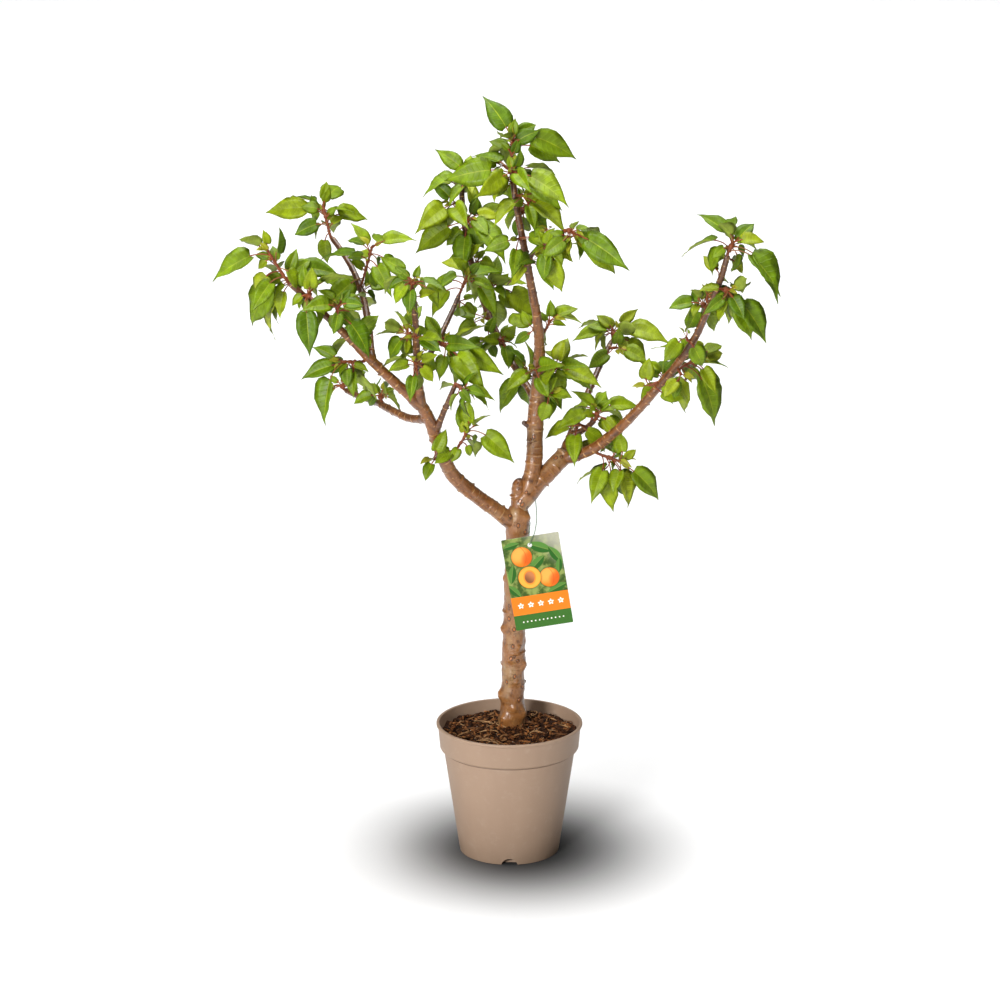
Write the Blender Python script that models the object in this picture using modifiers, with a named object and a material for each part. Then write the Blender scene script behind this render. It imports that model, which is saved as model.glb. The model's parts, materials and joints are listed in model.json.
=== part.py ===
# Potted dwarf apricot tree, in metres, +Z up, origin at the centre of the pot's flat underside.
# +X is to the right of the tree's front, +Y is away from its front.

import math
import random
from collections import namedtuple

import bmesh
import bpy
from mathutils import Matrix, Quaternion, Vector
from mathutils.bvhtree import BVHTree

GAP = 0.0003

# Pot
POT_HEIGHT = 0.202
POT_LIP_RADIUS = 0.110
POT_LIP_HEIGHT = 0.004
POT_BAND_TOP_RADIUS = 0.1075
POT_BAND_FOOT_RADIUS = 0.1045
POT_BAND_FOOT = 0.159
POT_STEP_FOOT = 0.148
POT_BODY_RADIUS = 0.0970
POT_BASE_RADIUS = 0.0750
POT_WALL = 0.0022
POT_FLOOR = 0.0030
POT_TURNS = 36
DRAIN_COUNT = 4
DRAIN_RADIUS = 0.0125
DRAIN_HEIGHT = 0.010
DRAIN_REACH = 0.024

# Substrate
SOIL_TOP = 0.186
MOUND_TOP = 0.193
MOUND_FOOT_RADIUS = 0.062
MOUND_TOP_RADIUS = 0.027

# Trunk: angles in degrees, as for the limbs below
TRUNK_FOOT = Vector((0.004, 0.022, MOUND_TOP + GAP))
TRUNK_LENGTH = 0.352
TRUNK_LEANS = (1, 2)
TRUNK_BACKS = (-3, -4)
TRUNK_RADII = (0.0205, 0.0184, 0.0174, 0.0172, 0.0172, 0.0170, 0.0168, 0.0168, 0.0170, 0.0174, 0.0150)
STUB_FOOT = 0.93
STUB_STEP = 0.010
STUB_LENGTH = 0.062
STUB_LEAN = 2
STUB_RADII = (0.0120, 0.0118, 0.0116, 0.0112, 0.0085)

# A knob on the trunk: how far up it, round it from the front, and its radius
Knob = namedtuple("Knob", "at turn radius")
KNOBS = (
    Knob(0.13, -78, 0.0085),
    Knob(0.05, 60, 0.0100),
    Knob(0.03, -40, 0.0090),
    Knob(0.27, 72, 0.0060),
    Knob(0.43, -80, 0.0060),
    Knob(0.66, -84, 0.0050),
    Knob(0.94, 58, 0.0080),
)
KNOB_SUNK = 0.35

# Limbs that leave their parent within this part of its length are cut clear of each other
BESIDE = 0.12

# A limb leaves its parent a part of the way up it. It has the stated leans from upright to the right
# and turns back from the front, in degrees, at equal steps from its foot to its tip.
Limb = namedtuple("Limb", "name parent at length leans backs radii")
LIMBS = (
    Limb("left_bough", "trunk", 0.90, 0.275, (-50, -50, -45, -20, -15, -30), (-15, -20, -20),
         (0.0122, 0.0108, 0.0104, 0.0096, 0.0084)),
    Limb("left_outer", "left_bough", 0.99, 0.285, (-45, -40, -45), (-20, -15),
         (0.0084, 0.0070, 0.0052, 0.0042)),
    Limb("left_upper", "left_outer", 0.38, 0.230, (-5, -10, -20, -35, -45), (45, 50, 35),
         (0.0056, 0.0048, 0.0040)),
    Limb("left_vertical", "left_bough", 1.0, 0.205, (-5, 0, -5), (-20, -25),
         (0.0076, 0.0056, 0.0046, 0.0037)),
    Limb("left_vertical_right", "left_vertical", 0.27, 0.170, (50, 35, 25), (60, 55, 40),
         (0.0046, 0.0040, 0.0032)),
    Limb("left_low", "left_bough", 0.90, 0.245, (-125, -85, -90, -100, -80), (45, 65, 55),
         (0.0064, 0.0056, 0.0050, 0.0040)),
    Limb("left_stub", "left_bough", 0.79, 0.100, (20, 20), (-30, -25),
         (0.0048, 0.0042, 0.0036)),
    Limb("right_bough", "trunk", 0.99, 0.107, (40, 50), (5, 25),
         (0.0135, 0.0133, 0.0136, 0.0130)),
    Limb("leader", "right_bough", 0.16, 0.525, (20, 0, 5, 0, -10, -10, -10, -5),
         (5, 5, -10, -20, -15, 0, 10),
         (0.0128, 0.0124, 0.0114, 0.0080, 0.0066, 0.0056, 0.0048, 0.0042)),
    Limb("leader_left", "leader", 0.28, 0.370, (-45, -30, -15, 0), (50, 35, 20, 0),
         (0.0054, 0.0050, 0.0046, 0.0040)),
    Limb("leader_twig", "leader", 0.72, 0.130, (25, 55), (-45, -50),
         (0.0036, 0.0032, 0.0028)),
    Limb("right_upper", "right_bough", 0.93, 0.230, (25, 30, 30), (50, 50, 40),
         (0.0072, 0.0058, 0.0046, 0.0036)),
    Limb("right_twig", "right_upper", 0.18, 0.050, (65, 35), (-25, -25),
         (0.0046, 0.0038)),
    Limb("right_lower", "right_bough", 0.91, 0.460, (80, 50, 40, 35, 35, 30, 20, 20, 10), (-25, -25, -10),
         (0.0084, 0.0074, 0.0066, 0.0058, 0.0050, 0.0040)),
)
LIMB_STEP = 0.026
LIMB_SIDES = 8
TRUNK_SIDES = 12

# A spray is one mass of foliage on a short shoot. The shoot leaves its limb at a heading, counted
# anticlockwise from the right as the front shows it, and turns back. Its blades that the front shows
# are pairs of a heading and a length, from the shoot's foot to its tip, and hidden ones face the back.
Spray = namedtuple("Spray", "name limb at heading back length hidden blades")
SPRAYS = (
    Spray("left_outer_tip_leaves", "left_outer", 1.00, 120, -10, 0.060, 2, (
        (-130, 0.045), (-125, 0.045), (100, 0.020), (160, 0.020), (-160, 0.060), (95, 0.020))),
    Spray("left_outer_end_leaves", "left_outer", 0.96, 135, 35, 0.020, 2, (
        (-115, 0.080), (-105, 0.040), (-110, 0.060), (-130, 0.075), (-175, 0.030), (85, 0.015),
        (0, 0.055))),
    Spray("left_outer_drop_leaves", "left_outer", 0.88, 110, -35, 0.010, 1, (
        (-85, 0.060), (-45, 0.025), (-150, 0.020), (100, 0.030))),
    Spray("left_outer_mid_leaves", "left_outer", 0.70, 75, -30, 0.030, 2, (
        (-50, 0.055), (115, 0.020), (165, 0.035), (5, 0.025))),
    Spray("left_outer_tuft_leaves", "left_outer", 0.52, 75, 40, 0.010, 1, (
        (150, 0.015), (-45, 0.020))),
    Spray("left_outer_fork_leaves", "left_outer", 0.41, 175, -20, 0.035, 2, (
        (-95, 0.035), (-165, 0.030), (-165, 0.050), (-105, 0.065))),
    Spray("left_upper_tip_leaves", "left_upper", 1.00, 105, 20, 0.050, 3, (
        (-90, 0.040), (40, 0.020), (-165, 0.035), (-5, 0.045), (50, 0.015), (180, 0.065),
        (165, 0.025), (-60, 0.020), (80, 0.025))),
    Spray("left_upper_twig_leaves", "left_upper", 0.57, 75, -30, 0.080, 2, (
        (-145, 0.050), (130, 0.020), (-70, 0.025), (-55, 0.040), (-45, 0.040), (15, 0.045))),
    Spray("left_upper_back_leaves", "left_upper", 0.54, 110, 60, 0.010, 2, (
        (-80, 0.040), (-120, 0.030))),
    Spray("left_vertical_tip_leaves", "left_vertical", 1.00, 90, -15, 0.010, 2, (
        (-50, 0.040), (-40, 0.020), (-95, 0.030), (-165, 0.025), (145, 0.040))),
    Spray("left_vertical_mid_leaves", "left_vertical", 0.56, 150, 35, 0.010, 2, (
        (-130, 0.035), (5, 0.020))),
    Spray("left_vertical_low_leaves", "left_vertical", 0.32, 95, -35, 0.020, 1, (
        (-100, 0.035), (-45, 0.025))),
    Spray("left_vertical_right_tip_leaves", "left_vertical_right", 1.00, 65, 15, 0.030, 2, (
        (-130, 0.045), (-165, 0.040), (-55, 0.050), (55, 0.020))),
    Spray("left_vertical_right_mid_leaves", "left_vertical_right", 0.40, 10, -50, 0.015, 2, (
        (-55, 0.050), (150, 0.020), (-40, 0.055), (-20, 0.065), (15, 0.040))),
    Spray("leader_left_tip_leaves", "leader_left", 1.00, 25, 0, 0.010, 3, (
        (-140, 0.030), (-165, 0.050), (140, 0.045), (-15, 0.050), (85, 0.025))),
    Spray("leader_left_high_leaves", "leader_left", 0.82, 80, -40, 0.030, 2, (
        (-100, 0.045), (-135, 0.030), (-150, 0.065), (-60, 0.030), (-40, 0.055), (-30, 0.025))),
    Spray("leader_left_tuft_leaves", "leader_left", 0.66, 80, 50, 0.010, 1, (
        (-135, 0.025), (-50, 0.020))),
    Spray("leader_left_mid_leaves", "leader_left", 0.53, 55, 40, 0.020, 2, (
        (-85, 0.055), (-110, 0.040), (-45, 0.035), (-35, 0.065))),
    Spray("leader_left_low_leaves", "leader_left", 0.31, 90, -55, 0.010, 1, (
        (155, 0.020), (60, 0.020))),
    Spray("leader_left_foot_leaves", "leader_left", 0.12, 90, 60, 0.015, 2, (
        (-95, 0.045), (-130, 0.055), (135, 0.025), (20, 0.025))),
    Spray("leader_tip_leaves", "leader", 1.00, 85, 5, 0.035, 3, (
        (70, 0.020), (130, 0.015), (155, 0.025), (-20, 0.055), (35, 0.030), (120, 0.055),
        (-20, 0.070), (85, 0.020))),
    Spray("leader_shoulder_leaves", "leader", 0.96, 90, -45, 0.020, 3, (
        (-30, 0.060), (-135, 0.030), (-35, 0.025), (-175, 0.070), (-155, 0.040), (-25, 0.065),
        (-30, 0.035))),
    Spray("leader_neck_leaves", "leader", 0.85, 70, 45, 0.015, 2, (
        (-105, 0.025), (-45, 0.025), (-85, 0.030), (-5, 0.025), (-45, 0.040))),
    Spray("leader_twig_tip_leaves", "leader_twig", 1.00, -30, -25, 0.010, 2, (
        (-150, 0.035), (-40, 0.065), (-25, 0.030), (-25, 0.065))),
    Spray("leader_twig_mid_leaves", "leader_twig", 0.68, -110, 20, 0.010, 1, (
        (-75, 0.055), (-105, 0.035), (80, 0.025), (145, 0.020))),
    Spray("leader_stub_leaves", "leader", 0.49, 65, 0, 0.020, 0, (
        (115, 0.015), (50, 0.015))),
    Spray("leader_mid_leaves", "leader", 0.37, 35, -10, 0.015, 2, (
        (-25, 0.055), (-30, 0.020), (-10, 0.035), (-10, 0.050), (20, 0.035), (80, 0.030))),
    Spray("leader_low_leaves", "leader", 0.30, 45, 60, 0.010, 1, (
        (-90, 0.035), (-120, 0.020))),
    Spray("right_upper_tip_leaves", "right_upper", 1.00, 80, 10, 0.015, 3, (
        (-50, 0.050), (-55, 0.030), (-170, 0.045), (-5, 0.060), (115, 0.020), (30, 0.020),
        (135, 0.025), (40, 0.035))),
    Spray("right_twig_tip_leaves", "right_twig", 1.00, 85, -15, 0.015, 2, (
        (-40, 0.035), (-45, 0.030), (-165, 0.045), (75, 0.025), (5, 0.045), (50, 0.020))),
    Spray("right_lower_tip_leaves", "right_lower", 1.00, 65, 0, 0.020, 3, (
        (-40, 0.065), (-125, 0.035), (-150, 0.020), (-50, 0.075), (-45, 0.020), (140, 0.045),
        (10, 0.030), (100, 0.020))),
    Spray("right_lower_high_leaves", "right_lower", 0.89, 0, -35, 0.015, 3, (
        (-60, 0.060), (-50, 0.070), (-55, 0.030), (-145, 0.020), (-150, 0.035), (25, 0.020))),
    Spray("right_lower_upper_leaves", "right_lower", 0.80, 130, 50, 0.010, 2, (
        (-60, 0.040), (-140, 0.015), (-110, 0.035), (-75, 0.025), (-40, 0.020))),
    Spray("right_lower_twig_leaves", "right_lower", 0.55, 25, 20, 0.050, 3, (
        (-105, 0.060), (-65, 0.075), (-55, 0.055), (-55, 0.040), (15, 0.030), (30, 0.025),
        (130, 0.020))),
    Spray("right_lower_mid_leaves", "right_lower", 0.47, 40, 50, 0.010, 1, (
        (-135, 0.040),)),
    Spray("right_lower_under_leaves", "right_lower", 0.12, -15, -20, 0.040, 3, (
        (-115, 0.045), (-95, 0.060), (-70, 0.055), (-70, 0.055), (-40, 0.065), (45, 0.020))),
    Spray("left_bough_twig_leaves", "left_bough", 0.62, 60, -15, 0.055, 1, (
        (-155, 0.025), (-120, 0.020), (90, 0.020), (-35, 0.055))),
    Spray("left_stub_tip_leaves", "left_stub", 1.00, -40, -10, 0.015, 1, (
        (-45, 0.020), (-5, 0.025))),
    Spray("left_low_mid_leaves", "left_low", 0.52, 90, -10, 0.010, 2, (
        (130, 0.020), (30, 0.015), (-130, 0.020))),
    Spray("left_low_tip_leaves", "left_low", 1.00, 115, 20, 0.010, 2, (
        (-30, 0.020), (140, 0.015))),
)

# Shoots and leaves
SHOOT_RADIUS = 0.0024
SHOOT_TIP_RADIUS = 0.0020
SHOOT_SEEK = 0.020
SHOOT_KNEE = 0.004
SHOOT_CLEAR = 0.005
SHOOT_ROOM = 1.2
PETIOLE_SHARE = 0.48
PETIOLE_LEAST = 0.010
PETIOLE_TURN = 0.7
NEARLY_ALONG = 0.2
LEAST_SPREAD = 25
PETIOLE_RADIUS = 0.0009
PETIOLE_SUNK = 0.0003
BLADE_WIDTH = 0.66
BLADE_THICKNESS = 0.0018
BLADE_FOLD = 0.30
BLADE_DROOP = 0.12
BLADE_TAPER = 1.35
BLADE_SHOULDER = 0.25
HIDDEN_LENGTHS = (0.034, 0.062)
HIDDEN_RISE = (-50, 25)
HIDDEN_TURN = (20, 160)
HIDDEN_SPOTS = (0.2, 0.9)
HIDDEN_FACING_UP = (0.7, 1.4)
FRONT_SPOT = 0.7
FACING_ASIDE = 0.3
FACING_UP = (0.3, 0.9)
BACK_SHARE = 0.4
FIRST_SWING = 24
SWING_PER_TRY = 4
MOST_SWING = 65
LEAST_SHORTENING = 0.72
ROLL = 24
TRIES = 14
CLEAR_OF_LIMB = 0.0014
CLEAR_OF_BLADE = 1.5
OUTER_STALK = 0.35
WHOLE_STALK = 0.1

# Tag, hung in front of the trunk
TAG_WIDTH = 0.086
TAG_HEIGHT = 0.142
TAG_THICKNESS = 0.0008
TAG_CENTRE = Vector((0.0412, -0.0240, 0.4300))
TAG_TILT = 9.3
EYELET_RISE = 0.0575
EYELET_SIDE = -0.002
EYELET_RADIUS = 0.0024
TIE_RADIUS = 0.0008
TIE_SIDES = 6

# Colours, linear red, green and blue, with roughness
POT_COLOUR = ((0.43, 0.30, 0.21), 0.50)
SOIL_COLOUR = ((0.072, 0.027, 0.011), 0.95)
BARK_COLOUR = ((0.34, 0.18, 0.09), 0.50)
LEAF_COLOUR = ((0.18, 0.27, 0.012), 0.45)
TAG_COLOUR = ((0.50, 0.28, 0.06), 0.40)
TIE_COLOUR = ((0.16, 0.27, 0.15), 0.50)


def clear_scene():
    for item in list(bpy.data.objects):
        bpy.data.objects.remove(item, do_unlink=True)


def new_collection(name):
    group = bpy.data.collections.new(name)
    bpy.context.scene.collection.children.link(group)
    return group


def new_material(name, colour_and_roughness):
    colour, roughness = colour_and_roughness
    material = bpy.data.materials.new(name)
    material.use_nodes = True
    shader = material.node_tree.nodes["Principled BSDF"]
    shader.inputs["Base Color"].default_value = (*colour, 1.0)
    shader.inputs["Roughness"].default_value = roughness
    return material


def new_object(name, data, group, material=None):
    thing = bpy.data.objects.new(name, data)
    group.objects.link(thing)
    if material:
        data.materials.clear()
        data.materials.append(material)
    return thing


def as_mesh(thing, name, group, material=None):
    """A plain mesh object of what the modifiers or the curve give, in place of the old object."""
    graph = bpy.context.evaluated_depsgraph_get()
    mesh = bpy.data.meshes.new_from_object(thing.evaluated_get(graph))
    mesh.transform(thing.matrix_world)
    bm = bmesh.new()
    bm.from_mesh(mesh)
    bmesh.ops.remove_doubles(bm, verts=bm.verts, dist=0.000005)
    bmesh.ops.dissolve_degenerate(bm, edges=bm.edges, dist=0.000002)
    bm.to_mesh(mesh)
    bm.free()
    bpy.data.objects.remove(thing, do_unlink=True)
    return new_object(name, mesh, group, material)


def keep_largest(mesh):
    """Drops the loose scraps that a Boolean can leave."""
    bm = bmesh.new()
    bm.from_mesh(mesh)
    unseen = set(bm.verts)
    islands = []
    while unseen:
        island = {unseen.pop()}
        front = list(island)
        while front:
            for edge in front.pop().link_edges:
                for vertex in edge.verts:
                    if vertex in unseen:
                        unseen.discard(vertex)
                        island.add(vertex)
                        front.append(vertex)
        islands.append(island)
    islands.sort(key=len)
    scraps = [vertex for island in islands[:-1] for vertex in island]
    bmesh.ops.delete(bm, geom=scraps, context="VERTS")
    sound = all(part.is_manifold for part in bm.edges[:] + bm.verts[:])
    sound = sound and bm.calc_volume(signed=True) > 0
    bm.to_mesh(mesh)
    bm.free()
    return sound


def combine(base, others, operation):
    """One Boolean on a collection, applied, with the collection's objects then removed."""
    name, group, material = base.name, base.users_collection[0], base.data.materials[0]
    cutters = new_collection("cutters")
    for other in others:
        for old in list(other.users_collection):
            old.objects.unlink(other)
        cutters.objects.link(other)
        other.hide_render = True
        other.display_type = "WIRE"
    for solver in ("EXACT", "MANIFOLD") if operation == "DIFFERENCE" else ("MANIFOLD", "EXACT"):
        change = base.modifiers.new("boolean", "BOOLEAN")
        change.operand_type = "COLLECTION"
        change.collection = cutters
        change.operation = operation
        change.solver = solver
        graph = bpy.context.evaluated_depsgraph_get()
        mesh = bpy.data.meshes.new_from_object(base.evaluated_get(graph))
        base.modifiers.remove(change)
        if keep_largest(mesh):
            break
    mesh.transform(base.matrix_world)
    bpy.data.objects.remove(base, do_unlink=True)
    for other in list(cutters.objects):
        bpy.data.objects.remove(other, do_unlink=True)
    bpy.data.collections.remove(cutters)
    return new_object(name, mesh, group, material)


def section(sides, guides):
    """A regular outline of unit radius that curves take as their section."""
    curve = bpy.data.curves.new(f"section_{sides}", "CURVE")
    spline = curve.splines.new("POLY")
    spline.points.add(sides - 1)
    spline.use_cyclic_u = True
    for index, point in enumerate(spline.points):
        angle = -math.tau * index / sides
        point.co = (math.cos(angle), math.sin(angle), 0, 1)
    outline = new_object(f"section_{sides}", curve, guides)
    outline.hide_render = True
    outline.display_type = "WIRE"
    return outline


def tube(name, points, radii, outline, group, material, closed=False):
    """A tapering limb, shoot or wire along its points."""
    curve = bpy.data.curves.new(name, "CURVE")
    curve.dimensions = "3D"
    curve.bevel_mode = "OBJECT"
    curve.bevel_object = outline
    curve.use_fill_caps = True
    spline = curve.splines.new("POLY")
    spline.points.add(len(points) - 1)
    spline.use_cyclic_u = closed
    for point, place, radius in zip(spline.points, points, radii):
        point.co = (*place, 1)
        point.radius = radius
    return as_mesh(new_object(name, curve, group), name, group, material)


def between(values, share):
    """The value at a share of the way along equal steps."""
    spot = min(max(share, 0.0), 1.0) * (len(values) - 1)
    index = min(int(spot), len(values) - 2)
    part = spot - index
    return values[index] * (1 - part) + values[index + 1] * part


def heading_of(lean, back):
    lean, back = math.radians(lean), math.radians(back)
    return Vector((math.sin(lean) * math.cos(back), math.sin(back), math.cos(lean) * math.cos(back)))


def route_of(start, length, leans, backs, step=LIMB_STEP):
    """Points along a limb, whose heading turns evenly from each stated one to the next."""
    count = max(3, round(length / step))
    points = [Vector(start)]
    for index in range(count):
        share = (index + 0.5) / count
        ahead = heading_of(between(leans, share), between(backs, share))
        points.append(points[-1] + ahead * (length / count))
    return points


def along(points, share):
    """The place and the heading at a share of the way along a route."""
    spot = min(max(share, 0.0), 1.0) * (len(points) - 1)
    index = min(int(spot), len(points) - 2)
    leg = points[index + 1] - points[index]
    return points[index] + leg * (spot - index), leg.normalized()


def plan_limbs():
    """Each limb's route and radii by name, the trunk's first."""
    plans = {"trunk": (route_of(TRUNK_FOOT, TRUNK_LENGTH, TRUNK_LEANS, TRUNK_BACKS), TRUNK_RADII)}
    for limb in LIMBS:
        start, _ = along(plans[limb.parent][0], limb.at)
        plans[limb.name] = (route_of(start, limb.length, limb.leans, limb.backs), limb.radii)
    return plans


def limb_tube(name, plan, outline, group, material, grow=0.0):
    points, radii = plan
    points = list(points)
    if grow:
        points[0] = points[0] - (points[1] - points[0]).normalized() * grow
        points[-1] = points[-1] + (points[-1] - points[-2]).normalized() * grow
    widths = [between(radii, index / (len(points) - 1)) + grow for index in range(len(points))]
    return tube(name, points, widths, outline, group, material)


def stub_plan(plans):
    """The pruned stub that the trunk ends in."""
    start, _ = along(plans["trunk"][0], STUB_FOOT)
    return route_of(start, STUB_LENGTH, (STUB_LEAN, STUB_LEAN), (0, 0), STUB_STEP), STUB_RADII


def build_pot(group, material):
    lip_foot = POT_HEIGHT - POT_LIP_HEIGHT
    outer = (
        (POT_LIP_RADIUS - 0.0006, POT_HEIGHT),
        (POT_LIP_RADIUS, POT_HEIGHT - 0.0006),
        (POT_LIP_RADIUS, lip_foot),
        (POT_BAND_TOP_RADIUS, lip_foot - 0.0010),
        (POT_BAND_FOOT_RADIUS, POT_BAND_FOOT),
        (POT_BODY_RADIUS + 0.0015, POT_STEP_FOOT + 0.0015),
        (POT_BODY_RADIUS, POT_STEP_FOOT),
        (POT_BASE_RADIUS + 0.0005, 0.0010),
        (POT_BASE_RADIUS, 0.0),
        (0.0, 0.0),
    )
    inner = (
        (0.0, POT_FLOOR),
        (POT_BASE_RADIUS - POT_WALL, POT_FLOOR),
        (POT_BODY_RADIUS - POT_WALL, POT_STEP_FOOT),
        (POT_BAND_FOOT_RADIUS - POT_WALL, POT_BAND_FOOT),
        (POT_BAND_TOP_RADIUS - POT_WALL, POT_HEIGHT),
    )
    mesh = bpy.data.meshes.new("pot")
    bm = bmesh.new()
    corners = [bm.verts.new((radius, 0.0, height)) for radius, height in outer + inner]
    for index, corner in enumerate(corners):
        bm.edges.new((corner, corners[(index + 1) % len(corners)]))
    bm.edges.remove(next(edge for edge in bm.edges if all(v.co.x == 0 for v in edge.verts)))
    bm.to_mesh(mesh)
    bm.free()
    pot = new_object("pot", mesh, group, material)
    turn = pot.modifiers.new("turn", "SCREW")
    turn.steps = turn.render_steps = POT_TURNS
    turn.use_merge_vertices = True
    turn.merge_threshold = 0.0001
    pot = as_mesh(pot, "pot", group, material)
    drains = []
    for index in range(DRAIN_COUNT):
        angle = math.tau * index / DRAIN_COUNT
        bm = bmesh.new()
        bmesh.ops.create_cone(bm, cap_ends=True, segments=16, radius1=DRAIN_RADIUS,
                              radius2=DRAIN_RADIUS, depth=DRAIN_REACH)
        mesh = bpy.data.meshes.new("drain")
        bm.to_mesh(mesh)
        bm.free()
        drain = new_object("drain", mesh, group)
        lay = Matrix.Rotation(angle, 4, "Z") @ Matrix.Translation(
            (POT_BASE_RADIUS, 0, DRAIN_HEIGHT - DRAIN_RADIUS))
        mesh.transform(lay @ Matrix.Rotation(math.pi / 2, 4, "Y"))
        drains.append(drain)
    return combine(pot, drains, "DIFFERENCE")


def build_substrate(group, material):
    inner = POT_WALL + GAP
    slope = (POT_BAND_TOP_RADIUS - POT_BAND_FOOT_RADIUS) / (POT_HEIGHT - POT_BAND_FOOT)
    profile = (
        (0.0, SOIL_TOP),
        (POT_BAND_FOOT_RADIUS + slope * (SOIL_TOP - POT_BAND_FOOT) - inner, SOIL_TOP),
        (POT_BAND_FOOT_RADIUS - inner, POT_BAND_FOOT),
        (POT_BODY_RADIUS - inner, POT_STEP_FOOT),
        (POT_BASE_RADIUS - inner, POT_FLOOR + GAP),
        (0.0, POT_FLOOR + GAP),
    )
    mesh = bpy.data.meshes.new("substrate")
    bm = bmesh.new()
    corners = [bm.verts.new((radius, 0.0, height)) for radius, height in profile]
    for first, second in zip(corners, corners[1:]):
        bm.edges.new((first, second))
    bm.to_mesh(mesh)
    bm.free()
    soil = new_object("substrate", mesh, group, material)
    turn = soil.modifiers.new("turn", "SCREW")
    turn.steps = turn.render_steps = POT_TURNS
    turn.use_merge_vertices = True
    turn.merge_threshold = 0.0001
    soil = as_mesh(soil, "substrate", group, material)
    sunk = 0.003
    depth = MOUND_TOP - SOIL_TOP + sunk
    bm = bmesh.new()
    bmesh.ops.create_cone(bm, cap_ends=True, segments=24, radius1=MOUND_FOOT_RADIUS,
                          radius2=MOUND_TOP_RADIUS, depth=depth)
    mesh = bpy.data.meshes.new("mound")
    bm.to_mesh(mesh)
    bm.free()
    mesh.transform(Matrix.Translation((TRUNK_FOOT.x, TRUNK_FOOT.y, MOUND_TOP - depth / 2)))
    return combine(soil, [new_object("mound", mesh, group)], "UNION")


def build_trunk(plans, outlines, group, material):
    trunk = limb_tube("trunk", plans["trunk"], outlines[TRUNK_SIDES], group, material)
    extras = [limb_tube("stub", stub_plan(plans), outlines[LIMB_SIDES], group, material)]
    for knob in KNOBS:
        axis, ahead = along(plans["trunk"][0], knob.at)
        width = between(TRUNK_RADII, knob.at)
        side = Matrix.Rotation(math.radians(knob.turn), 3, ahead) @ Vector((0, -1, 0))
        bm = bmesh.new()
        bmesh.ops.create_icosphere(bm, subdivisions=1, radius=knob.radius)
        mesh = bpy.data.meshes.new("knob")
        bm.to_mesh(mesh)
        bm.free()
        mesh.transform(Matrix.Translation(axis + side * (width - knob.radius * KNOB_SUNK)))
        extras.append(new_object("knob", mesh, group))
    trunk = combine(trunk, extras, "UNION")
    level = bmesh.new()
    level.from_mesh(trunk.data)
    cut = bmesh.ops.bisect_plane(level, geom=level.verts[:] + level.edges[:] + level.faces[:],
                                 plane_co=TRUNK_FOOT, plane_no=(0, 0, -1), clear_outer=True)
    rim = [part for part in cut["geom_cut"] if isinstance(part, bmesh.types.BMEdge)]
    bmesh.ops.contextual_create(level, geom=rim)
    bmesh.ops.triangulate(level, faces=level.faces)
    level.to_mesh(trunk.data)
    level.free()
    return trunk


def build_limbs(plans, outlines, group, material):
    """Each limb, cut clear of its parent, of the trunk's stub and of the limbs that leave beside it.

    Gives back the skin of each for the shoots to stand on.
    """
    skins = {}
    for index, limb in enumerate(LIMBS):
        bough = limb_tube(limb.name, plans[limb.name], outlines[LIMB_SIDES], group, material)
        beside = [limb.parent]
        beside += [other.name for other in LIMBS[:index]
                   if other.parent == limb.parent and abs(other.at - limb.at) < BESIDE]
        if limb.parent == "right_bough":
            beside.append("trunk")
        cutters = []
        for name in dict.fromkeys(beside):
            sides = TRUNK_SIDES if name == "trunk" else LIMB_SIDES
            cutters.append(limb_tube("cutter", plans[name], outlines[sides], group, material, GAP))
        if "trunk" in beside:
            cutters.append(limb_tube("cutter", stub_plan(plans), outlines[LIMB_SIDES], group,
                                     material, GAP))
        bough = combine(bough, cutters, "DIFFERENCE")
        surface = bmesh.new()
        surface.from_mesh(bough.data)
        skins[limb.name] = BVHTree.FromBMesh(surface)
        surface.free()
    return skins


# A leaf is worked out from its petiole's root, its blade's root, midrib, upward normal and length
Leaf = namedtuple("Leaf", "root base ahead normal length")
LENS_SIDES = 8
LENS = [Vector((math.cos(math.tau * k / LENS_SIDES), math.sin(math.tau * k / LENS_SIDES), 0))
        for k in range(LENS_SIDES)] + [Vector((0, 0, 1)), Vector((0, 0, -1))]
LENS_FACES = [(k, (k + 1) % LENS_SIDES, LENS_SIDES) for k in range(LENS_SIDES)]
LENS_FACES += [((k + 1) % LENS_SIDES, k, LENS_SIDES + 1) for k in range(LENS_SIDES)]


def on_blade(leaf, spot, fatter=1.0):
    """Where a point of a unit lens lies on the folded, drooping, egg-shaped blade."""
    far = ((1 + spot.x) / 2) ** BLADE_TAPER
    side = spot.y * (1 - BLADE_SHOULDER * spot.x) * leaf.length * BLADE_WIDTH / 2
    across = leaf.normal.cross(leaf.ahead)
    lift = BLADE_FOLD * abs(side) - BLADE_DROOP * leaf.length * far * far
    lift += spot.z * BLADE_THICKNESS / 2 * fatter
    return leaf.base + leaf.ahead * (far * leaf.length) + across * side + leaf.normal * lift


def blade_tree(leaf):
    return BVHTree.FromPolygons([on_blade(leaf, spot, CLEAR_OF_BLADE) for spot in LENS], LENS_FACES)


def needle(start, end, radius):
    """A three-sided bar between two places, as points and faces."""
    ahead = (end - start).normalized()
    first = ahead.orthogonal().normalized() * radius
    second = ahead.cross(first)
    corners = [first * math.cos(math.tau * k / 3) + second * math.sin(math.tau * k / 3)
               for k in range(3)]
    points = [start + corner for corner in corners] + [end + corner for corner in corners]
    faces = [(k, (k + 1) % 3, (k + 1) % 3 + 3, k + 3) for k in range(3)]
    return points, faces


def petiole_tree(leaf, from_share):
    start = leaf.root.lerp(leaf.base, from_share)
    return BVHTree.FromPolygons(*needle(start, leaf.base, PETIOLE_RADIUS * CLEAR_OF_BLADE))


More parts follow.
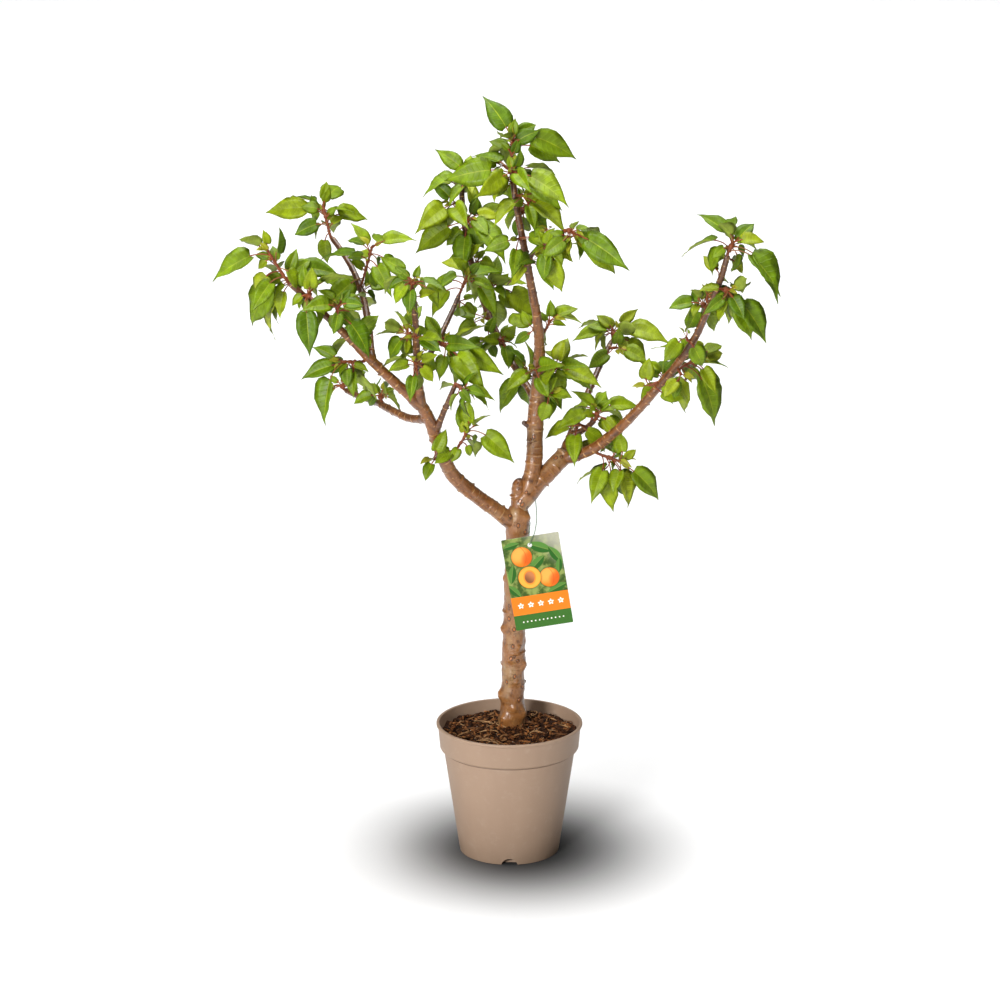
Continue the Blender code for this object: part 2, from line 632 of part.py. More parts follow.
def shoot_points(spray, plans, skins):
    """The foot of the shoot just off its limb's skin or tip, its knee and its tip."""
    axis, ahead = along(plans[spray.limb][0], spray.at)
    aim = heading_of(90 - spray.heading, spray.back)
    if spray.at == 1.0:
        place, out = axis, ahead
    else:
        side = (aim - ahead * aim.dot(ahead)).normalized()
        place, out, _, _ = skins[spray.limb].ray_cast(axis + side * SHOOT_SEEK, -side)
    foot = place + out * GAP
    knee = foot + out * SHOOT_KNEE
    return [foot, knee, knee + aim * max(spray.length - SHOOT_KNEE, SHOOT_CLEAR)]


def leaf_of(shoot, share, heading, length, facing, roll):
    """A leaf whose stalk turns most of the way from the shoot's heading to the blade's."""
    root = shoot[1].lerp(shoot[2], share)
    aim = (shoot[2] - shoot[1]).normalized()
    axis = aim.cross(heading)
    if axis.length < NEARLY_ALONG:
        axis = aim.cross(facing)
    rise = aim.copy()
    rise.rotate(Quaternion(axis, max(PETIOLE_TURN * aim.angle(heading), math.radians(LEAST_SPREAD))))
    base = root + rise * max(PETIOLE_SHARE * length, PETIOLE_LEAST)
    normal = (facing - heading * facing.dot(heading)).normalized()
    normal = Matrix.Rotation(math.radians(roll), 3, heading) @ normal
    return Leaf(root, base, heading, normal, length)


def front_leaf(spray, shoot, index, attempt):
    """A blade that the front shows, swung further out of the picture with each try."""
    luck = random.Random(f"{spray.name} front {index} {attempt}")
    heading, length = spray.blades[index]
    swing = FIRST_SWING + SWING_PER_TRY * attempt
    back = max(-MOST_SWING, min(MOST_SWING, spray.back * BACK_SHARE + luck.uniform(-swing, swing)))
    ahead = heading_of(90 - heading, back)
    length = length / max(math.cos(math.radians(back)), LEAST_SHORTENING)
    share = (index + FRONT_SPOT) / len(spray.blades)
    facing = Vector((luck.uniform(-FACING_ASIDE, FACING_ASIDE), -1.0, luck.uniform(*FACING_UP)))
    return leaf_of(shoot, share, ahead, length, facing, luck.uniform(-ROLL, ROLL))


def hidden_leaf(spray, shoot, index, attempt):
    """A blade on the side that the front hides, facing out and up."""
    luck = random.Random(f"{spray.name} hidden {index} {attempt}")
    length = luck.uniform(*HIDDEN_LENGTHS)
    turn = math.radians(luck.uniform(*HIDDEN_TURN))
    rise = math.radians(luck.uniform(*HIDDEN_RISE))
    ahead = Vector((math.cos(turn) * math.cos(rise), math.sin(turn) * math.cos(rise), math.sin(rise)))
    facing = Vector((ahead.x, ahead.y, luck.uniform(*HIDDEN_FACING_UP)))
    share = luck.uniform(*HIDDEN_SPOTS)
    return leaf_of(shoot, share, ahead, length, facing, luck.uniform(-ROLL, ROLL))


def limb_spots(plans):
    """Places along every limb with its radius there, close enough together to stand for it."""
    spots = []
    for points, radii in plans.values():
        count = (len(points) - 1) * 4
        for index in range(count + 1):
            share = index / count
            spots.append((along(points, share)[0], between(radii, share)))
    return spots


def touches_limb(tree, spots):
    return any(tree.find_nearest(place, radius + CLEAR_OF_LIMB)[0] is not None
               for place, radius in spots)


def grow_leaves(plans, skins):
    """Every spray's shoot and the leaves that fit, each clear of all limbs and of other leaves."""
    spots = limb_spots(plans)
    shoots = {spray.name: shoot_points(spray, plans, skins) for spray in SPRAYS}
    bars = {name: [BVHTree.FromPolygons(*needle(shoot[k], shoot[k + 1], SHOOT_RADIUS * SHOOT_ROOM))
                   for k in range(2)] for name, shoot in shoots.items()}
    grown = {spray.name: [] for spray in SPRAYS}
    blades, stalks = [], []

    def fits(leaf, name):
        blade = blade_tree(leaf)
        outer, whole = petiole_tree(leaf, OUTER_STALK), petiole_tree(leaf, WHOLE_STALK)
        if touches_limb(blade, spots) or touches_limb(outer, spots):
            return False
        if any(blade.overlap(bar) for bar in bars[name]):
            return False
        for other, shoot_bars in bars.items():
            if other != name and any(blade.overlap(bar) or whole.overlap(bar) for bar in shoot_bars):
                return False
        for other, taken in blades:
            if blade.overlap(taken) or whole.overlap(taken):
                return False
        for other, near, far in stalks:
            if blade.overlap(far) or (other != name and (blade.overlap(near) or whole.overlap(near))):
                return False
        blades.append((name, blade))
        stalks.append((name, whole, outer))
        return True

    for make, count_of in ((front_leaf, lambda spray: len(spray.blades)),
                           (hidden_leaf, lambda spray: spray.hidden)):
        for spray in SPRAYS:
            for index in range(count_of(spray)):
                for attempt in range(TRIES):
                    leaf = make(spray, shoots[spray.name], index, attempt)
                    if fits(leaf, spray.name):
                        grown[spray.name].append(leaf)
                        break
    return shoots, grown


def leaf_object(leaf, group):
    """A lens bent to the blade's shape, with a four-sided stalk drawn out of it into the shoot."""
    bm = bmesh.new()
    bmesh.ops.create_uvsphere(bm, u_segments=LENS_SIDES, v_segments=2, radius=1)
    inner = min(bm.verts, key=lambda vertex: vertex.co.x)
    made = bmesh.ops.bevel(bm, geom=[inner], offset=0.1, offset_type="OFFSET", segments=1,
                           profile=0.5, affect="VERTICES", material=-1)
    cap = next(face for face in made["faces"] if all(v.co.x < -0.85 for v in face.verts))
    across = leaf.normal.cross(leaf.ahead)
    reach = leaf.root - leaf.base
    up = (leaf.ahead - reach.normalized()).cross(across).normalized()
    neck = {}
    for vertex in cap.verts:
        side = Vector((0, vertex.co.y, vertex.co.z)).normalized()
        neck[vertex] = leaf.base + (across * side.y + up * side.z) * PETIOLE_RADIUS
    for vertex in bm.verts:
        vertex.co = neck[vertex] if vertex in neck else on_blade(leaf, vertex.co)
    cap = bmesh.ops.extrude_discrete_faces(bm, faces=[cap])["faces"][0]
    bmesh.ops.translate(bm, vec=reach + reach.normalized() * PETIOLE_SUNK, verts=cap.verts)
    bmesh.ops.triangulate(bm, faces=bm.faces)
    bmesh.ops.recalc_face_normals(bm, faces=bm.faces)
    mesh = bpy.data.meshes.new("leaf")
    bm.to_mesh(mesh)
    bm.free()
    return new_object("leaf", mesh, group)


def build_sprays(plans, skins, outlines, group, material):
    shoots, grown = grow_leaves(plans, skins)
    widths = (SHOOT_RADIUS, SHOOT_RADIUS, SHOOT_TIP_RADIUS)
    for spray in SPRAYS:
        shoot = tube(spray.name, shoots[spray.name], widths, outlines[3], group, material)
        combine(shoot, [leaf_object(leaf, group) for leaf in grown[spray.name]], "UNION")


def tag_turn():
    return Matrix.Translation(TAG_CENTRE) @ Matrix.Rotation(-math.radians(TAG_TILT), 4, "Y")


def build_tag(group, material):
    bm = bmesh.new()
    bmesh.ops.create_cube(bm, size=1)
    bmesh.ops.scale(bm, vec=(TAG_WIDTH, TAG_THICKNESS, TAG_HEIGHT), verts=bm.verts)
    mesh = bpy.data.meshes.new("tag")
    bm.to_mesh(mesh)
    bm.free()
    mesh.transform(tag_turn())
    tag = new_object("tag", mesh, group, material)
    bm = bmesh.new()
    bmesh.ops.create_cone(bm, cap_ends=True, segments=16, radius1=EYELET_RADIUS,
                          radius2=EYELET_RADIUS, depth=0.01)
    mesh = bpy.data.meshes.new("eyelet")
    bm.to_mesh(mesh)
    bm.free()
    spot = Matrix.Translation((EYELET_SIDE, 0, EYELET_RISE))
    mesh.transform(tag_turn() @ spot @ Matrix.Rotation(math.pi / 2, 4, "X"))
    return combine(tag, [new_object("eyelet", mesh, group)], "DIFFERENCE")


def tie_points():
    """The wire's loop: through the eyelet, up behind the fork, round the stub and back."""
    eyelet = tag_turn() @ Vector((EYELET_SIDE, 0, EYELET_RISE))
    low = eyelet + Vector((0, 0, EYELET_RADIUS - TIE_RADIUS - GAP))
    return [
        low + Vector((0, -0.0026, 0)),
        low + Vector((0.0030, -0.0034, 0.0100)),
        Vector((0.0370, -0.0262, 0.5060)),
        Vector((0.0400, -0.0190, 0.5240)),
        Vector((0.0395, -0.0050, 0.5400)),
        Vector((0.0370, 0.0120, 0.5470)),
        Vector((0.0270, 0.0240, 0.5500)),
        Vector((0.0100, 0.0160, 0.5520)),
        Vector((0.0055, 0.0155, 0.5500)),
        Vector((0.0040, 0.0190, 0.5430)),
        Vector((0.0060, 0.0215, 0.5350)),
        Vector((0.0130, 0.0250, 0.5230)),
        Vector((0.0245, 0.0195, 0.5180)),
        Vector((0.0302, 0.0065, 0.5130)),
        Vector((0.0300, -0.0060, 0.5090)),
        Vector((0.0290, -0.0140, 0.5000)),
        low + Vector((0, 0.0060, 0.0030)),
        low + Vector((0, 0.0024, 0)),
    ]


def build_tie(outlines, group, material):
    points = tie_points()
    return tube("tag_tie", points, [TIE_RADIUS] * len(points), outlines[TIE_SIDES], group,
                material, closed=True)


def build_tree():
    clear_scene()
    tree = new_collection("potted_dwarf_apricot")
    guides = new_collection("guides")
    outlines = {sides: section(sides, guides) for sides in (3, TIE_SIDES, LIMB_SIDES, TRUNK_SIDES)}
    bark = new_material("bark", BARK_COLOUR)
    plans = plan_limbs()
    build_pot(tree, new_material("pot", POT_COLOUR))
    build_substrate(tree, new_material("substrate", SOIL_COLOUR))
    build_trunk(plans, outlines, tree, bark)
    skins = build_limbs(plans, outlines, tree, bark)
    build_sprays(plans, skins, outlines, tree, new_material("leaves", LEAF_COLOUR))
    build_tag(tree, new_material("tag", TAG_COLOUR))
    build_tie(outlines, tree, new_material("tie", TIE_COLOUR))


build_tree()
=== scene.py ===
# %% [markdown]
# A young dwarf apricot tree in a round nursery pot.
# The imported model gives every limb, every mass of leaves, the pot and the card at their real sizes. This
# lesson dresses it: bark with ring scars, leaves with veins on red stalks, a turned plastic pot, loose
# potting mix and a glossy picture card on a wire. The limbs and leaves grow by the same rule as the solids.

# %% Load the model and keep its box
import json
import math
import random
from collections import namedtuple

import bmesh
import bpy
from mathutils import Euler, Matrix, Quaternion, Vector, noise
from mathutils.bvhtree import BVHTree

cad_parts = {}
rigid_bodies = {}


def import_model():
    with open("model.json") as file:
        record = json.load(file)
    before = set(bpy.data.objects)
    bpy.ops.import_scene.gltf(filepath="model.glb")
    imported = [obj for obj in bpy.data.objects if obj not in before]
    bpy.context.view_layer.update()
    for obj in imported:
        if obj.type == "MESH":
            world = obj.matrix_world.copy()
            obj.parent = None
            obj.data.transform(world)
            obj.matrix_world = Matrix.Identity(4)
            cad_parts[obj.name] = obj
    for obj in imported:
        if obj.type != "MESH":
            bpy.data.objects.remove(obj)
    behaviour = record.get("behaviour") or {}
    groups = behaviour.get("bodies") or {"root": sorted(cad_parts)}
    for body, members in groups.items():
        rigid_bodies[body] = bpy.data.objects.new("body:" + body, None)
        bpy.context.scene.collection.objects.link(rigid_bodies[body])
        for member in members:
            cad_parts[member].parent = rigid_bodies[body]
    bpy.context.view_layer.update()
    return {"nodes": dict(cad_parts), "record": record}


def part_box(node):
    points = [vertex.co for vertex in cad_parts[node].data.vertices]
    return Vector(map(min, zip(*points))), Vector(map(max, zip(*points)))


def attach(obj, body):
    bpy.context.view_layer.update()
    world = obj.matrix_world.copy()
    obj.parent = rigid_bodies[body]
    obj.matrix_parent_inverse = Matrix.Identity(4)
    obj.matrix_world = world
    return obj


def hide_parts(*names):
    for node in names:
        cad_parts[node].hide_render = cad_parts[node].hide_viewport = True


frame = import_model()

nodes = frame["nodes"]
limb_nodes = [part["node"] for part in frame["record"]["subparts"] if part["material_slot"] == "bark"]
leaf_nodes = [part["node"] for part in frame["record"]["subparts"] if part["material_slot"] == "leaves"]

# %% [markdown]
# The photographer stood well back with a long lens and looked down by about sixteen degrees, so the
# pot's rim is a flat ellipse and the trunk stays upright. A camera could also track an empty, but two
# plain numbers, a place and a pitch, are easier to read.

# %% The camera
LENS_MM = 138.6
SENSOR_MM = 36.0
CAMERA_PLACE = (-0.01415, -5.4877, 2.1120)
CAMERA_PITCH = 74.1

lens = bpy.data.cameras.new("camera")
lens.lens = LENS_MM
lens.sensor_width = SENSOR_MM
camera = bpy.data.objects.new("camera", lens)
camera.location = CAMERA_PLACE
camera.rotation_euler = Euler((math.radians(CAMERA_PITCH), 0, 0))
bpy.context.scene.collection.objects.link(camera)
bpy.context.scene.camera = camera
print("the camera stands", round(-CAMERA_PLACE[1], 2), "m in front of the pot")

# %% [markdown]
# The backdrop is a seamless white floor under an even white sky. A large soft key lamp stands in front on the
# left, so forms turn darker towards the right. One overhead throws a soft shadow round the pot's foot, and a
# painted shadow in the floor's colour deepens it there; one far behind only brightens the floor there, as a
# studio's background lamp does.

# %% A pale floor and soft light
SKY_STRENGTH = 0.18
# Name, place, the point that it faces, its side in metres, its power in watts and its spread in degrees
LAMPS = (
    ("key", (-2.1, -4.1, 1.4), (0, 0, 0.6), 1.3, 200, 180),
    ("top", (0.0, 0.0, 3.2), (0, 0, 0.0), 2.2, 108, 180),
    ("background", (0, 6.0, 4.2), (0, 6.0, 0.0), 7.5, 205, 80),
)

bpy.context.scene.view_settings.view_transform = "Standard"
world = bpy.data.worlds.new("studio")
world.use_nodes = True
world.node_tree.nodes["Background"].inputs["Color"].default_value = (1, 1, 1, 1)
world.node_tree.nodes["Background"].inputs["Strength"].default_value = SKY_STRENGTH
bpy.context.scene.world = world

for name, place, target, size, power, spread in LAMPS:
    light = bpy.data.lights.new(name, "AREA")
    light.size = size
    light.energy = power
    light.spread = math.radians(spread)
    lamp = bpy.data.objects.new(name, light)
    lamp.location = place
    lamp.rotation_euler = (Vector(target) - Vector(place)).to_track_quat("-Z", "Y").to_euler()
    bpy.context.scene.collection.objects.link(lamp)
print(len(LAMPS), "soft lamps under a sky of strength", SKY_STRENGTH)

# %% [markdown]
# Every finish here is worked out from a few patterns, so it helps to write shader maths as plain
# expressions. `Field` wraps a socket: adding, subtracting or multiplying one makes the Math node. `Finish`
# holds a material, and its `node` method makes any other node. Colours go through Mix, because a Math node
# would turn them grey.

# %% Shader maths in plain Python
class Field:
    """A socket of a finish, on which Python's operators add Math nodes."""

    def __init__(self, finish, socket):
        self.finish = finish
        self.socket = socket

    def math(self, operation, *values):
        return self.finish.node("ShaderNodeMath", {"operation": operation}, dict(enumerate(values)))

    def __add__(self, other):
        return self.math("ADD", self, other)

    __radd__ = __add__

    def __sub__(self, other):
        return self.math("SUBTRACT", self, other)

    def __rsub__(self, other):
        return self.math("SUBTRACT", other, self)

    def __mul__(self, other):
        return self.math("MULTIPLY", self, other)

    __rmul__ = __mul__

    def __truediv__(self, other):
        return self.math("DIVIDE", self, other)

    def __rtruediv__(self, other):
        return self.math("DIVIDE", other, self)

    def size(self):
        return self.math("ABSOLUTE", self)

    def step(self, low, high):
        """Rises smoothly from 0 at low to 1 at high."""
        return self.finish.node("ShaderNodeMapRange", {"interpolation_type": "SMOOTHSTEP"},
                                {"Value": self, "From Min": low, "From Max": high})


class Finish:
    """A material whose patterns are fields and whose shader they feed."""

    def __init__(self, name):
        self.material = bpy.data.materials.new(name)
        self.material.use_nodes = True
        self.nodes = self.material.node_tree.nodes
        self.shader = self.nodes["Principled BSDF"]

    def feed(self, socket, value):
        if isinstance(value, Field):
            self.material.node_tree.links.new(value.socket, socket)
        elif socket.type == "RGBA":
            socket.default_value = (*value, 1)
        else:
            socket.default_value = value

    def node(self, kind, settings, values, out=0):
        node = self.nodes.new(kind)
        for name, value in settings.items():
            setattr(node, name, value)
        for key, value in values.items():
            self.feed(node.inputs[key], value)
        return Field(self, node.outputs[out])

    def place(self, scale=(1, 1, 1), centre=(0, 0, 0)):
        """Places on the piece, in metres, after a Mapping node centres and stretches them."""
        start = self.node("ShaderNodeTexCoord", {}, {}, "Object")
        offset = tuple(-middle * stretch for middle, stretch in zip(centre, scale))
        return self.node("ShaderNodeMapping", {}, {"Vector": start, "Location": offset, "Scale": scale})

    def attribute(self, name, out):
        """What the mesh keeps under a name: 1 gives a place, 2 a number."""
        return self.node("ShaderNodeAttribute", {"attribute_name": name}, {}, out)

    def spread(self, place, scale):
        """A place stretched by its own scale on each axis."""
        return self.node("ShaderNodeMapping", {}, {"Vector": place, "Scale": scale})

    def cloud(self, place, scale, detail=3, roughness=0.5):
        return self.node("ShaderNodeTexNoise", {}, {"Vector": place, "Scale": scale, "Detail": detail,
                                                    "Roughness": roughness})

    def cells(self, place, scale, feature="F1"):
        return self.node("ShaderNodeTexVoronoi", {"feature": feature}, {"Vector": place, "Scale": scale})

    def mix(self, share, first, second):
        return self.node("ShaderNodeMix", {"data_type": "RGBA"}, {0: share, 6: first, 7: second}, 2)

    def set(self, **values):
        """Sets or links the shader's sockets: Base_Color=..., Roughness=..."""
        for name, value in values.items():
            self.feed(self.shader.inputs[name.replace("_", " ")], value)

    def bump(self, height, distance, strength=1.0):
        self.set(Normal=self.node("ShaderNodeBump", {}, {"Height": height, "Distance": distance,
                                                         "Strength": strength}))


print("finishes are written as expressions on", Field.__name__, "values")

# %% [markdown]
# A new piece needs the same few steps each time: a mesh from a bmesh, one or more finishes and its ride
# on the only body. Some pieces stand for nodes of the model, which are then hidden.

# %% One helper that finishes a piece
def add_piece(name, bm, finishes, replaced=()):
    mesh = bpy.data.meshes.new(name)
    bm.to_mesh(mesh)
    bm.free()
    for face in mesh.polygons:
        face.use_smooth = True
    for finish in finishes:
        mesh.materials.append(finish.material)
    piece = bpy.data.objects.new(name, mesh)
    bpy.context.scene.collection.objects.link(piece)
    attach(piece, "root")
    if replaced:
        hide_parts(*replaced)
    print(name, "has", sum(len(face.vertices) - 2 for face in mesh.polygons), "triangles")
    return piece


def gather(lots):
    """One bmesh of many small ones. Operators slow down as a mesh grows, so big pieces are made in small lots."""
    whole = bmesh.new()
    for lot in lots:
        mesh = bpy.data.meshes.new("lot")
        lot.to_mesh(mesh)
        lot.free()
        whole.from_mesh(mesh)
        bpy.data.meshes.remove(mesh)
    return whole


# %% The floor
FLOOR_COLOUR = (0.94, 0.94, 0.94)
FLOOR_COLOUR_LIGHT = (0.95, 0.95, 0.95)
PAINTED_SHADOW_COLOUR = (0.02, 0.02, 0.02)
FLOOR_SIDE = 40
# The painted shadow round the pot's foot, a soft dark pool: its reach from dark to light, its middle, how much deeper
# than wide it is
PAINTED_SHADOW_REACH = (0.040, 0.312)
PAINTED_SHADOW_MIDDLE = 0.020
PAINTED_SHADOW_DEPTH = 1.13


def floor_finish():
    finish = Finish("seamless_paper")
    place = finish.place()
    grain = finish.cloud(place, 30, 2)
    paper = finish.mix(grain, FLOOR_COLOUR, FLOOR_COLOUR_LIGHT)
    # Painted shadow: the floor's colour darkens to a soft pool round the pot's foot
    wide = finish.node("ShaderNodeSeparateXYZ", {}, {0: place}, "X") - PAINTED_SHADOW_MIDDLE
    deep = finish.node("ShaderNodeSeparateXYZ", {}, {0: place}, "Y") / PAINTED_SHADOW_DEPTH
    away = wide * wide + deep * deep
    finish.set(Base_Color=finish.mix(away.math("SQRT", away).step(*PAINTED_SHADOW_REACH), PAINTED_SHADOW_COLOUR, paper), Roughness=0.9)
    return finish


bpy.ops.mesh.primitive_plane_add(size=FLOOR_SIDE)
floor = bpy.context.object
floor.name = "floor"
floor.data.materials.append(floor_finish().material)
print("the floor is", FLOOR_SIDE, "m a side")

# %% [markdown]
# A nursery pot is blow-moulded from one wall: a rolled lip, a wide upper band, a step under it that lets pots
# nest, and a tapering body with notches in its foot that drain it. It could be a Screw modifier on a curve.
# Here a bmesh outline is spun once round, and the corners that the mould rounds are then bevelled ring by ring.

# %% The turned pot
pot_low, pot_high = (Vector(corner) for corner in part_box("pot"))
POT_TURNS = 144
POT_HEIGHT = pot_high.z
LIP_RADIUS = pot_high.x
LIP_DEPTH = 0.004
BAND_TOP_RADIUS = 0.1075
BAND_FOOT_RADIUS = 0.1045
BAND_FOOT = 0.1635
STEP_FOOT = 0.1595
GROOVE_HEIGHT = 0.0014
BODY_RADIUS = 0.0987
BASE_RADIUS = 0.0750
BODY_TAPER = (BODY_RADIUS - BASE_RADIUS) / STEP_FOOT
WALL = 0.0022
POT_FLOOR = 0.0030
DRAINS = 4
DRAIN_RADIUS = 0.0125
DRAIN_HEIGHT = 0.010
DRAIN_REACH = 0.024
SHARP_ANGLE = 35

# Radius, height and how far the mould rounds the corner
POT_OUTLINE = (
    (LIP_RADIUS, POT_HEIGHT, 0.0016),
    (LIP_RADIUS, POT_HEIGHT - LIP_DEPTH, 0.0012),
    (BAND_TOP_RADIUS, POT_HEIGHT - LIP_DEPTH - 0.0010, 0.0006),
    (BAND_FOOT_RADIUS, BAND_FOOT, 0.0014),
    (BODY_RADIUS + 0.0018, STEP_FOOT + GROOVE_HEIGHT, 0.0004),
    (BODY_RADIUS - 0.0004, STEP_FOOT + GROOVE_HEIGHT, 0.0001),
    (BODY_RADIUS - 0.0004, STEP_FOOT, 0.0001),
    (BODY_RADIUS, STEP_FOOT - 0.0006, 0.0003),
    (BODY_RADIUS - BODY_TAPER * (STEP_FOOT - 0.040), 0.040, 0.0100),
    (BASE_RADIUS, 0.0, 0.0008),
    (BASE_RADIUS - WALL, POT_FLOOR, 0.0008),
    (BODY_RADIUS - WALL, STEP_FOOT, 0.0010),
    (BAND_FOOT_RADIUS - WALL, BAND_FOOT, 0.0015),
    (BAND_TOP_RADIUS - WALL, POT_HEIGHT, 0.0010),
)


def spun(outline, turns):
    """A closed shell from an outline of radius, height and rounding, the last two joined in the middle."""
    bm = bmesh.new()
    corners = [bm.verts.new((radius, 0, height)) for radius, height, _ in outline]
    edges = [bm.edges.new((corner, corners[(index + 1) % len(corners)]))
             for index, corner in enumerate(corners)]
    bmesh.ops.spin(bm, geom=corners + edges, axis=(0, 0, 1), cent=(0, 0, 0), steps=turns,
                   angle=math.tau, use_merge=True)
    bmesh.ops.remove_doubles(bm, verts=bm.verts, dist=0.00001)
    return bm


def close_disc(bm, height, radius):
    """Fills the ring at a height with a flat floor."""
    ring = [edge for edge in bm.edges if edge.is_boundary
            and all(abs(v.co.z - height) < 0.00001 and v.co.xy.length < radius + 0.001 for v in edge.verts)]
    bmesh.ops.contextual_create(bm, geom=ring)


def round_rings(bm, outline):
    for radius, height, rounding in outline:
        ring = [edge for edge in bm.edges
                if all(abs(v.co.z - height) < 0.00002 and abs(v.co.xy.length - radius) < 0.0002
                       for v in edge.verts)]
        bmesh.ops.bevel(bm, geom=ring, offset=rounding, offset_type="OFFSET", segments=4, profile=0.5,
                        affect="EDGES", material=-1)


def build_pot():
    bm = spun(POT_OUTLINE, POT_TURNS)
    bridge = [face for face in bm.faces if all(v.co.z < POT_FLOOR + 0.0001 for v in face.verts)]
    bmesh.ops.delete(bm, geom=bridge, context="FACES_ONLY")
    for height, radius in ((0.0, BASE_RADIUS), (POT_FLOOR, BASE_RADIUS - WALL)):
        close_disc(bm, height, radius)
    round_rings(bm, POT_OUTLINE)
    bmesh.ops.recalc_face_normals(bm, faces=bm.faces)
    return bm


def cut_out(piece, cutters):
    """Takes the shape in a bmesh out of a finished piece."""
    mesh = bpy.data.meshes.new("cutters")
    cutters.to_mesh(mesh)
    cutters.free()
    tool = bpy.data.objects.new("cutters", mesh)
    bpy.context.scene.collection.objects.link(tool)
    cut = piece.modifiers.new("cut", "BOOLEAN")
    cut.object = tool
    cut.operation = "DIFFERENCE"
    cut.solver = "EXACT"
    graph = bpy.context.evaluated_depsgraph_get()
    whole = bpy.data.meshes.new_from_object(piece.evaluated_get(graph))
    piece.modifiers.clear()
    piece.data = whole
    whole.set_sharp_from_angle(angle=math.radians(SHARP_ANGLE))
    bpy.data.objects.remove(tool)


def drain_cutters():
    """The half-round drain notches that leave the pot's foot."""
    bm = bmesh.new()
    for index in range(DRAINS):
        lay = (Matrix.Rotation(math.tau * index / DRAINS, 4, "Z")
               @ Matrix.Translation((BASE_RADIUS, 0, DRAIN_HEIGHT - DRAIN_RADIUS))
               @ Matrix.Rotation(math.pi / 2, 4, "Y"))
        bmesh.ops.create_cone(bm, cap_ends=True, segments=48, radius1=DRAIN_RADIUS,
                              radius2=DRAIN_RADIUS, depth=DRAIN_REACH, matrix=lay)
    return bm


# %% [markdown]
# The plastic is a matte taupe with a soft sheen. Moulding leaves faint flow marks and a fine grain, handling
# leaves small pale scuffs on the band's edge, and potting dust greys the foot. All of it is slight: the eye
# should read one even colour.

# %% The pot's plastic
def plastic_finish():
    finish = Finish("taupe_plastic")
    place = finish.place()
    flow = finish.cloud(finish.place((1, 1, 0.35)), 16, 4, 0.6)
    grain = finish.cloud(place, 900, 2)
    dust = finish.cloud(place, 60, 5, 0.7).step(0.52, 0.75)
    scuffs = finish.cells(finish.place((1, 1, 3)), 240, "DISTANCE_TO_EDGE").step(0.05, 0.0)
    scuffs = scuffs * finish.cloud(place, 35, 2).step(0.60, 0.72)
    colour = finish.mix(flow.step(0.3, 0.7), PLASTIC_SHADE, PLASTIC_LIGHT)
    colour = finish.mix(dust * 0.16, colour, PLASTIC_DUST)
    colour = finish.mix(scuffs * 0.10, colour, PLASTIC_DUST)
    height = finish.node("ShaderNodeSeparateXYZ", {}, {0: place}, 2)
    # Painted shade: the fine groove under the band's step is darkened
    groove = 1 - (height - (STEP_FOOT + GROOVE_HEIGHT / 2)).size().step(GROOVE_HEIGHT * 0.4, GROOVE_HEIGHT)
    colour = finish.mix(groove * 0.75, colour, PAINTED_GROOVE_SHADE)
    finish.set(Base_Color=colour, Roughness=0.46 + 0.16 * flow + 0.12 * dust)
    finish.bump(grain + 0.6 * flow, 0.00006, 0.6)
    return finish


PLASTIC_SHADE = (0.315, 0.211, 0.143)
PLASTIC_LIGHT = (0.340, 0.230, 0.157)
PLASTIC_DUST = (0.52, 0.42, 0.33)
PAINTED_GROOVE_SHADE = (0.11, 0.07, 0.045)

pot = add_piece("pot_shell", build_pot(), [plastic_finish()], ["pot"])
cut_out(pot, drain_cutters())
print("the pot is", round(2000 * LIP_RADIUS), "mm across its lip")

# %% [markdown]
# Potting mix is a loose heap of bark chips, fibres and white perlite on finer dark stuff. One displaced
# surface alone looks like mud, and a particle system doesn't survive an export. So a rough surface gives the
# ground, and loops strew real chips, curled fibres and grains on it from a seeded list of random numbers.

# %% The ground of the mix
SOIL_TOP = 0.186
MOUND_TOP = 0.193
MOUND_REACH = 0.055
SOIL_LUMP = 0.0042
SOIL_LUMP_SCALE = 75
SOIL_SEGMENTS = 120
TRUNK_FOOT = Vector((0.004, 0.022, MOUND_TOP))
SLOPE = (BAND_TOP_RADIUS - BAND_FOOT_RADIUS) / (POT_HEIGHT - BAND_FOOT)
SOIL_RADIUS = BAND_FOOT_RADIUS + SLOPE * (SOIL_TOP - BAND_FOOT) - WALL


def soil_height(x, y):
    """The ground's height: level, with a mound round the trunk's foot and lumps all over."""
    near = min(1.0, math.hypot(x - TRUNK_FOOT.x, y - TRUNK_FOOT.y) / MOUND_REACH)
    mound = (MOUND_TOP - SOIL_TOP) * (1 - near * near * (3 - 2 * near))
    lumps = noise.turbulence(Vector((x, y, 0.3)) * SOIL_LUMP_SCALE, 4, False)
    return SOIL_TOP + mound + SOIL_LUMP * (lumps - 0.5)


def build_soil():
    bm = bmesh.new()
    bmesh.ops.create_grid(bm, x_segments=SOIL_SEGMENTS, y_segments=SOIL_SEGMENTS, size=1)
    for vertex in bm.verts:
        x, y = vertex.co.x, vertex.co.y
        reach = max(abs(x), abs(y)) / max(math.hypot(x, y), 0.001) * SOIL_RADIUS
        vertex.co = Vector((x * reach, y * reach, soil_height(x * reach, y * reach)))
    return bm


def soil_finish(name, dark, light, wet=0.0):
    finish = Finish(name)
    place = finish.place()
    crumbs = finish.cloud(place, 220, 5, 0.7)
    grains = finish.cells(place, 420)
    colour = finish.mix(crumbs.step(0.35, 0.68), dark, light)
    finish.set(Base_Color=colour, Roughness=0.92 - wet * crumbs, Specular_IOR_Level=0.15)
    finish.bump(crumbs + grains * 0.5, 0.0008)
    return finish


SOIL_DARK = (0.014, 0.004, 0.001)
SOIL_LIGHT = (0.070, 0.024, 0.007)

add_piece("potting_mix", build_soil(), [soil_finish("fine_mix", SOIL_DARK, SOIL_LIGHT, 0.3)],
          ["substrate"])

